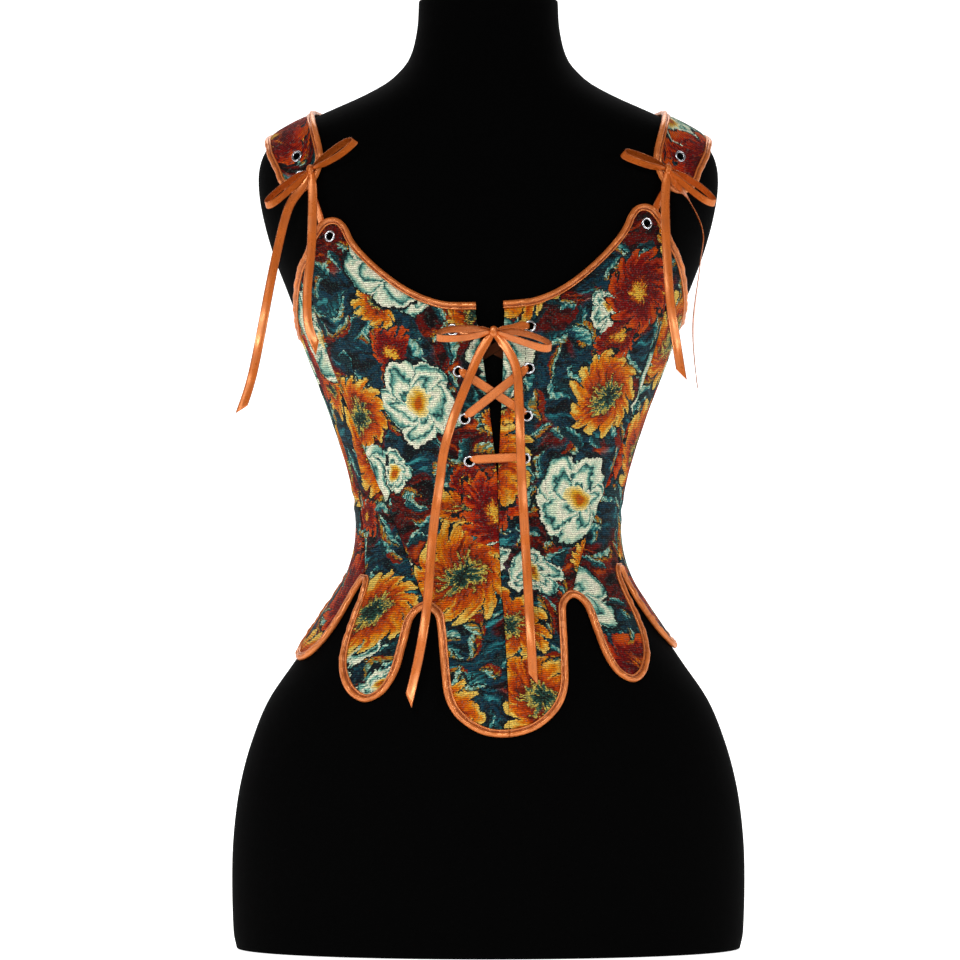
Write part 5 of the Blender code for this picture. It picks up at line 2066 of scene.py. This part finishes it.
    def make_tail(self, name: str, tail: Tail, centre: Vector, satin: Material) -> None:
        """One hanging tail, from its knot to its cut end.

        Args:
            name: the node that it replaces.
            tail: the tail's rows and cut.
            centre: the knot's centre.
            satin: its material.
        """
        first = centre.lerp(Vector(tail.rows[0][:3]), 0.35)
        rows = spline_rows(((*first, tail.rows[0][3]), *tail.rows), 1.6)
        centres = [Vector(row[:3]) for row in rows]
        for point, run in zip(centres, lengths_along(centres)):
            point.y += 0.9 * math.sin(run / 7.5) * min(1.0, run / 60.0)
        measure = lengths_along(centres)
        outs, widths, cups = [], [], []
        for row, run in zip(rows, measure):
            sway = 7.0 * math.sin(run / 23.0) * min(1.0, run / 40.0)
            turn = math.radians(row[3] + sway)
            outs.append(Vector((math.sin(turn), -math.cos(turn), 0.0)))
            open_by = min(1.0, run / 9.0)
            widths.append(0.68 + 0.32 * open_by)
            cups.append(0.8 * (1 - open_by) + 0.25)
        bm = self.ribbon.mesh(centres, outs, widths, cups, tail.slant)
        obj = make_object(f"{name}_ribbon", bm, satin, [name])


@dataclass(frozen=True)
class Lamp:
    """A round soft lamp: its name, its place in metres, its width and its power in watts."""

    name: str
    place: tuple[float, float, float]
    size: float
    power: float


@dataclass
class Studio:
    """Floor, backdrop, lamps and camera."""

    lamps: tuple = (
        Lamp("key", (-0.7, -2.9, 2.0), 0.7, 32.0), Lamp("front", (-0.3, -3.8, 0.95), 0.5, 24.0),
        Lamp("right", (2.2, -1.5, 1.0), 0.6, 13.0), Lamp("left", (-2.2, -1.5, 0.9), 0.6, 13.0),
        Lamp("back", (0.0, 1.4, 2.4), 1.8, 26.0),
    )
    aim: tuple = (0.0, 0.0, 0.35)
    sky: float = 0.13
    # The sweep, in metres: half width, front edge, where it starts to rise, radius and height
    paper_half: float = 8.0
    paper_front: float = -0.8
    paper_turn: float = 2.0
    paper_radius: float = 1.5
    paper_rise: float = 4.0
    paper_rows: int = 48
    camera_x: float = -6.0
    camera_z: float = 337.0
    distance: float = 4000.0
    frame_width: float = 691.2

    def build(self, paper: Material) -> None:
        """Set up everything that is not the object.

        Args:
            paper: the backdrop's material.
        """
        self.add_backdrop(paper)
        self.add_camera()
        world = bpy.data.worlds.new("studio")
        world.use_nodes = True
        set_inputs(world.node_tree.nodes["Background"], {"Color": "#FFFFFF", "Strength": self.sky})
        bpy.context.scene.world = world
        for lamp in self.lamps:
            light = bpy.data.lights.new(lamp.name, "AREA")
            light.shape, light.size, light.energy = "DISK", lamp.size, lamp.power
            obj = bpy.data.objects.new(lamp.name, light)
            obj.location = lamp.place
            way = Vector(self.aim) - Vector(lamp.place)
            obj.rotation_euler = way.to_track_quat("-Z", "Y").to_euler()
            bpy.context.scene.collection.objects.link(obj)
        bpy.context.scene.view_settings.view_transform = "Standard"

    def add_backdrop(self, paper: Material) -> None:
        """White paper that runs along the floor and up behind in one sweep.

        Args:
            paper: its material.
        """
        bm, cell = grid_mesh(2, self.paper_rows)
        for vert in bm.verts:
            column, row = cell(vert)
            run = row / self.paper_rows
            turn = min(1.0, max(0.0, run - 0.5) / 0.25) * math.pi / 2
            flat = min(run, 0.5) * 2 * (self.paper_turn - self.paper_front)
            y = self.paper_front + flat + self.paper_radius * math.sin(turn)
            z = self.paper_radius * (1 - math.cos(turn))
            z += max(0.0, run - 0.75) / 0.25 * self.paper_rise - PAPER_UNDER
            vert.co = ((column - 1) * self.paper_half, y, z)
        bmesh.ops.recalc_face_normals(bm, faces=bm.faces)
        mesh = bpy.data.meshes.new("backdrop")
        bm.to_mesh(mesh)
        bm.free()
        mesh.shade_smooth()
        mesh.materials.append(paper)
        obj = bpy.data.objects.new("backdrop", mesh)
        bpy.context.scene.collection.objects.link(obj)

    def add_camera(self) -> None:
        """Long lens, level with the middle of the picture."""
        data = bpy.data.cameras.new("camera")
        data.sensor_width = 36.0
        data.lens = 36.0 * self.distance / self.frame_width
        data.clip_end = 30.0
        camera = bpy.data.objects.new("camera", data)
        camera.location = (self.camera_x * MM, -self.distance * MM, self.camera_z * MM)
        camera.rotation_euler = (math.pi / 2, 0.0, 0.0)
        bpy.context.scene.collection.objects.link(camera)
        bpy.context.scene.camera = camera


def main() -> None:
    """Load the frame, then build the form, the vest and its ribbons in order."""
    logging.basicConfig(level=logging.INFO, format="%(name)s %(message)s")
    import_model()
    Studio().build(PaleBackdrop().build())
    shape = FormShape()
    layout = VestLayout(shape)
    satin = OrangeSatin().build()
    # The binding is the ribbon satin painted lighter, standing in for its missing highlights, with
    # darker painted shade in its stitched groove
    painted_binding_satin = OrangeSatin("orange_satin_bias_binding", "#E27C3A", "#7E2F08", edge_mm=9.0,
                                roughness=0.25, groove_at_mm=-0.6, groove_shade_mm=0.95).build()
    tapestry = FloralTapestry().build()
    thread = SewingThread().build()
    dark_thread = SewingThread("dark_brown_polyester_thread", "#1A0F0C").build()
    DressForm(shape).build(BlackJersey().build())
    cloth = ClothVest(layout)
    cloth.build(tapestry, dark_thread)
    straps = Straps(layout)
    straps.build(tapestry)
    Binding(layout, straps).build(painted_binding_satin, thread)
    Eyelets(cloth, straps).build(NickelPlate().build())
    bows = Bows(shape, Ribbon())
    knot_at = shape.seen(*bows.bows[0].knot)[0]
    # A darker, duller copy of the ribbon satin: painted shade for the strands that cross in the dark
    # behind the gap
    shaded_satin = OrangeSatin("orange_satin_painted_shade", "#351206", "#1A0803",
                              roughness=0.6, specular=0.1).build()
    Lacing(cloth, Ribbon()).build(satin, shaded_satin, knot_at)
    bows.build(satin)


if __name__ == "__main__":
    main()
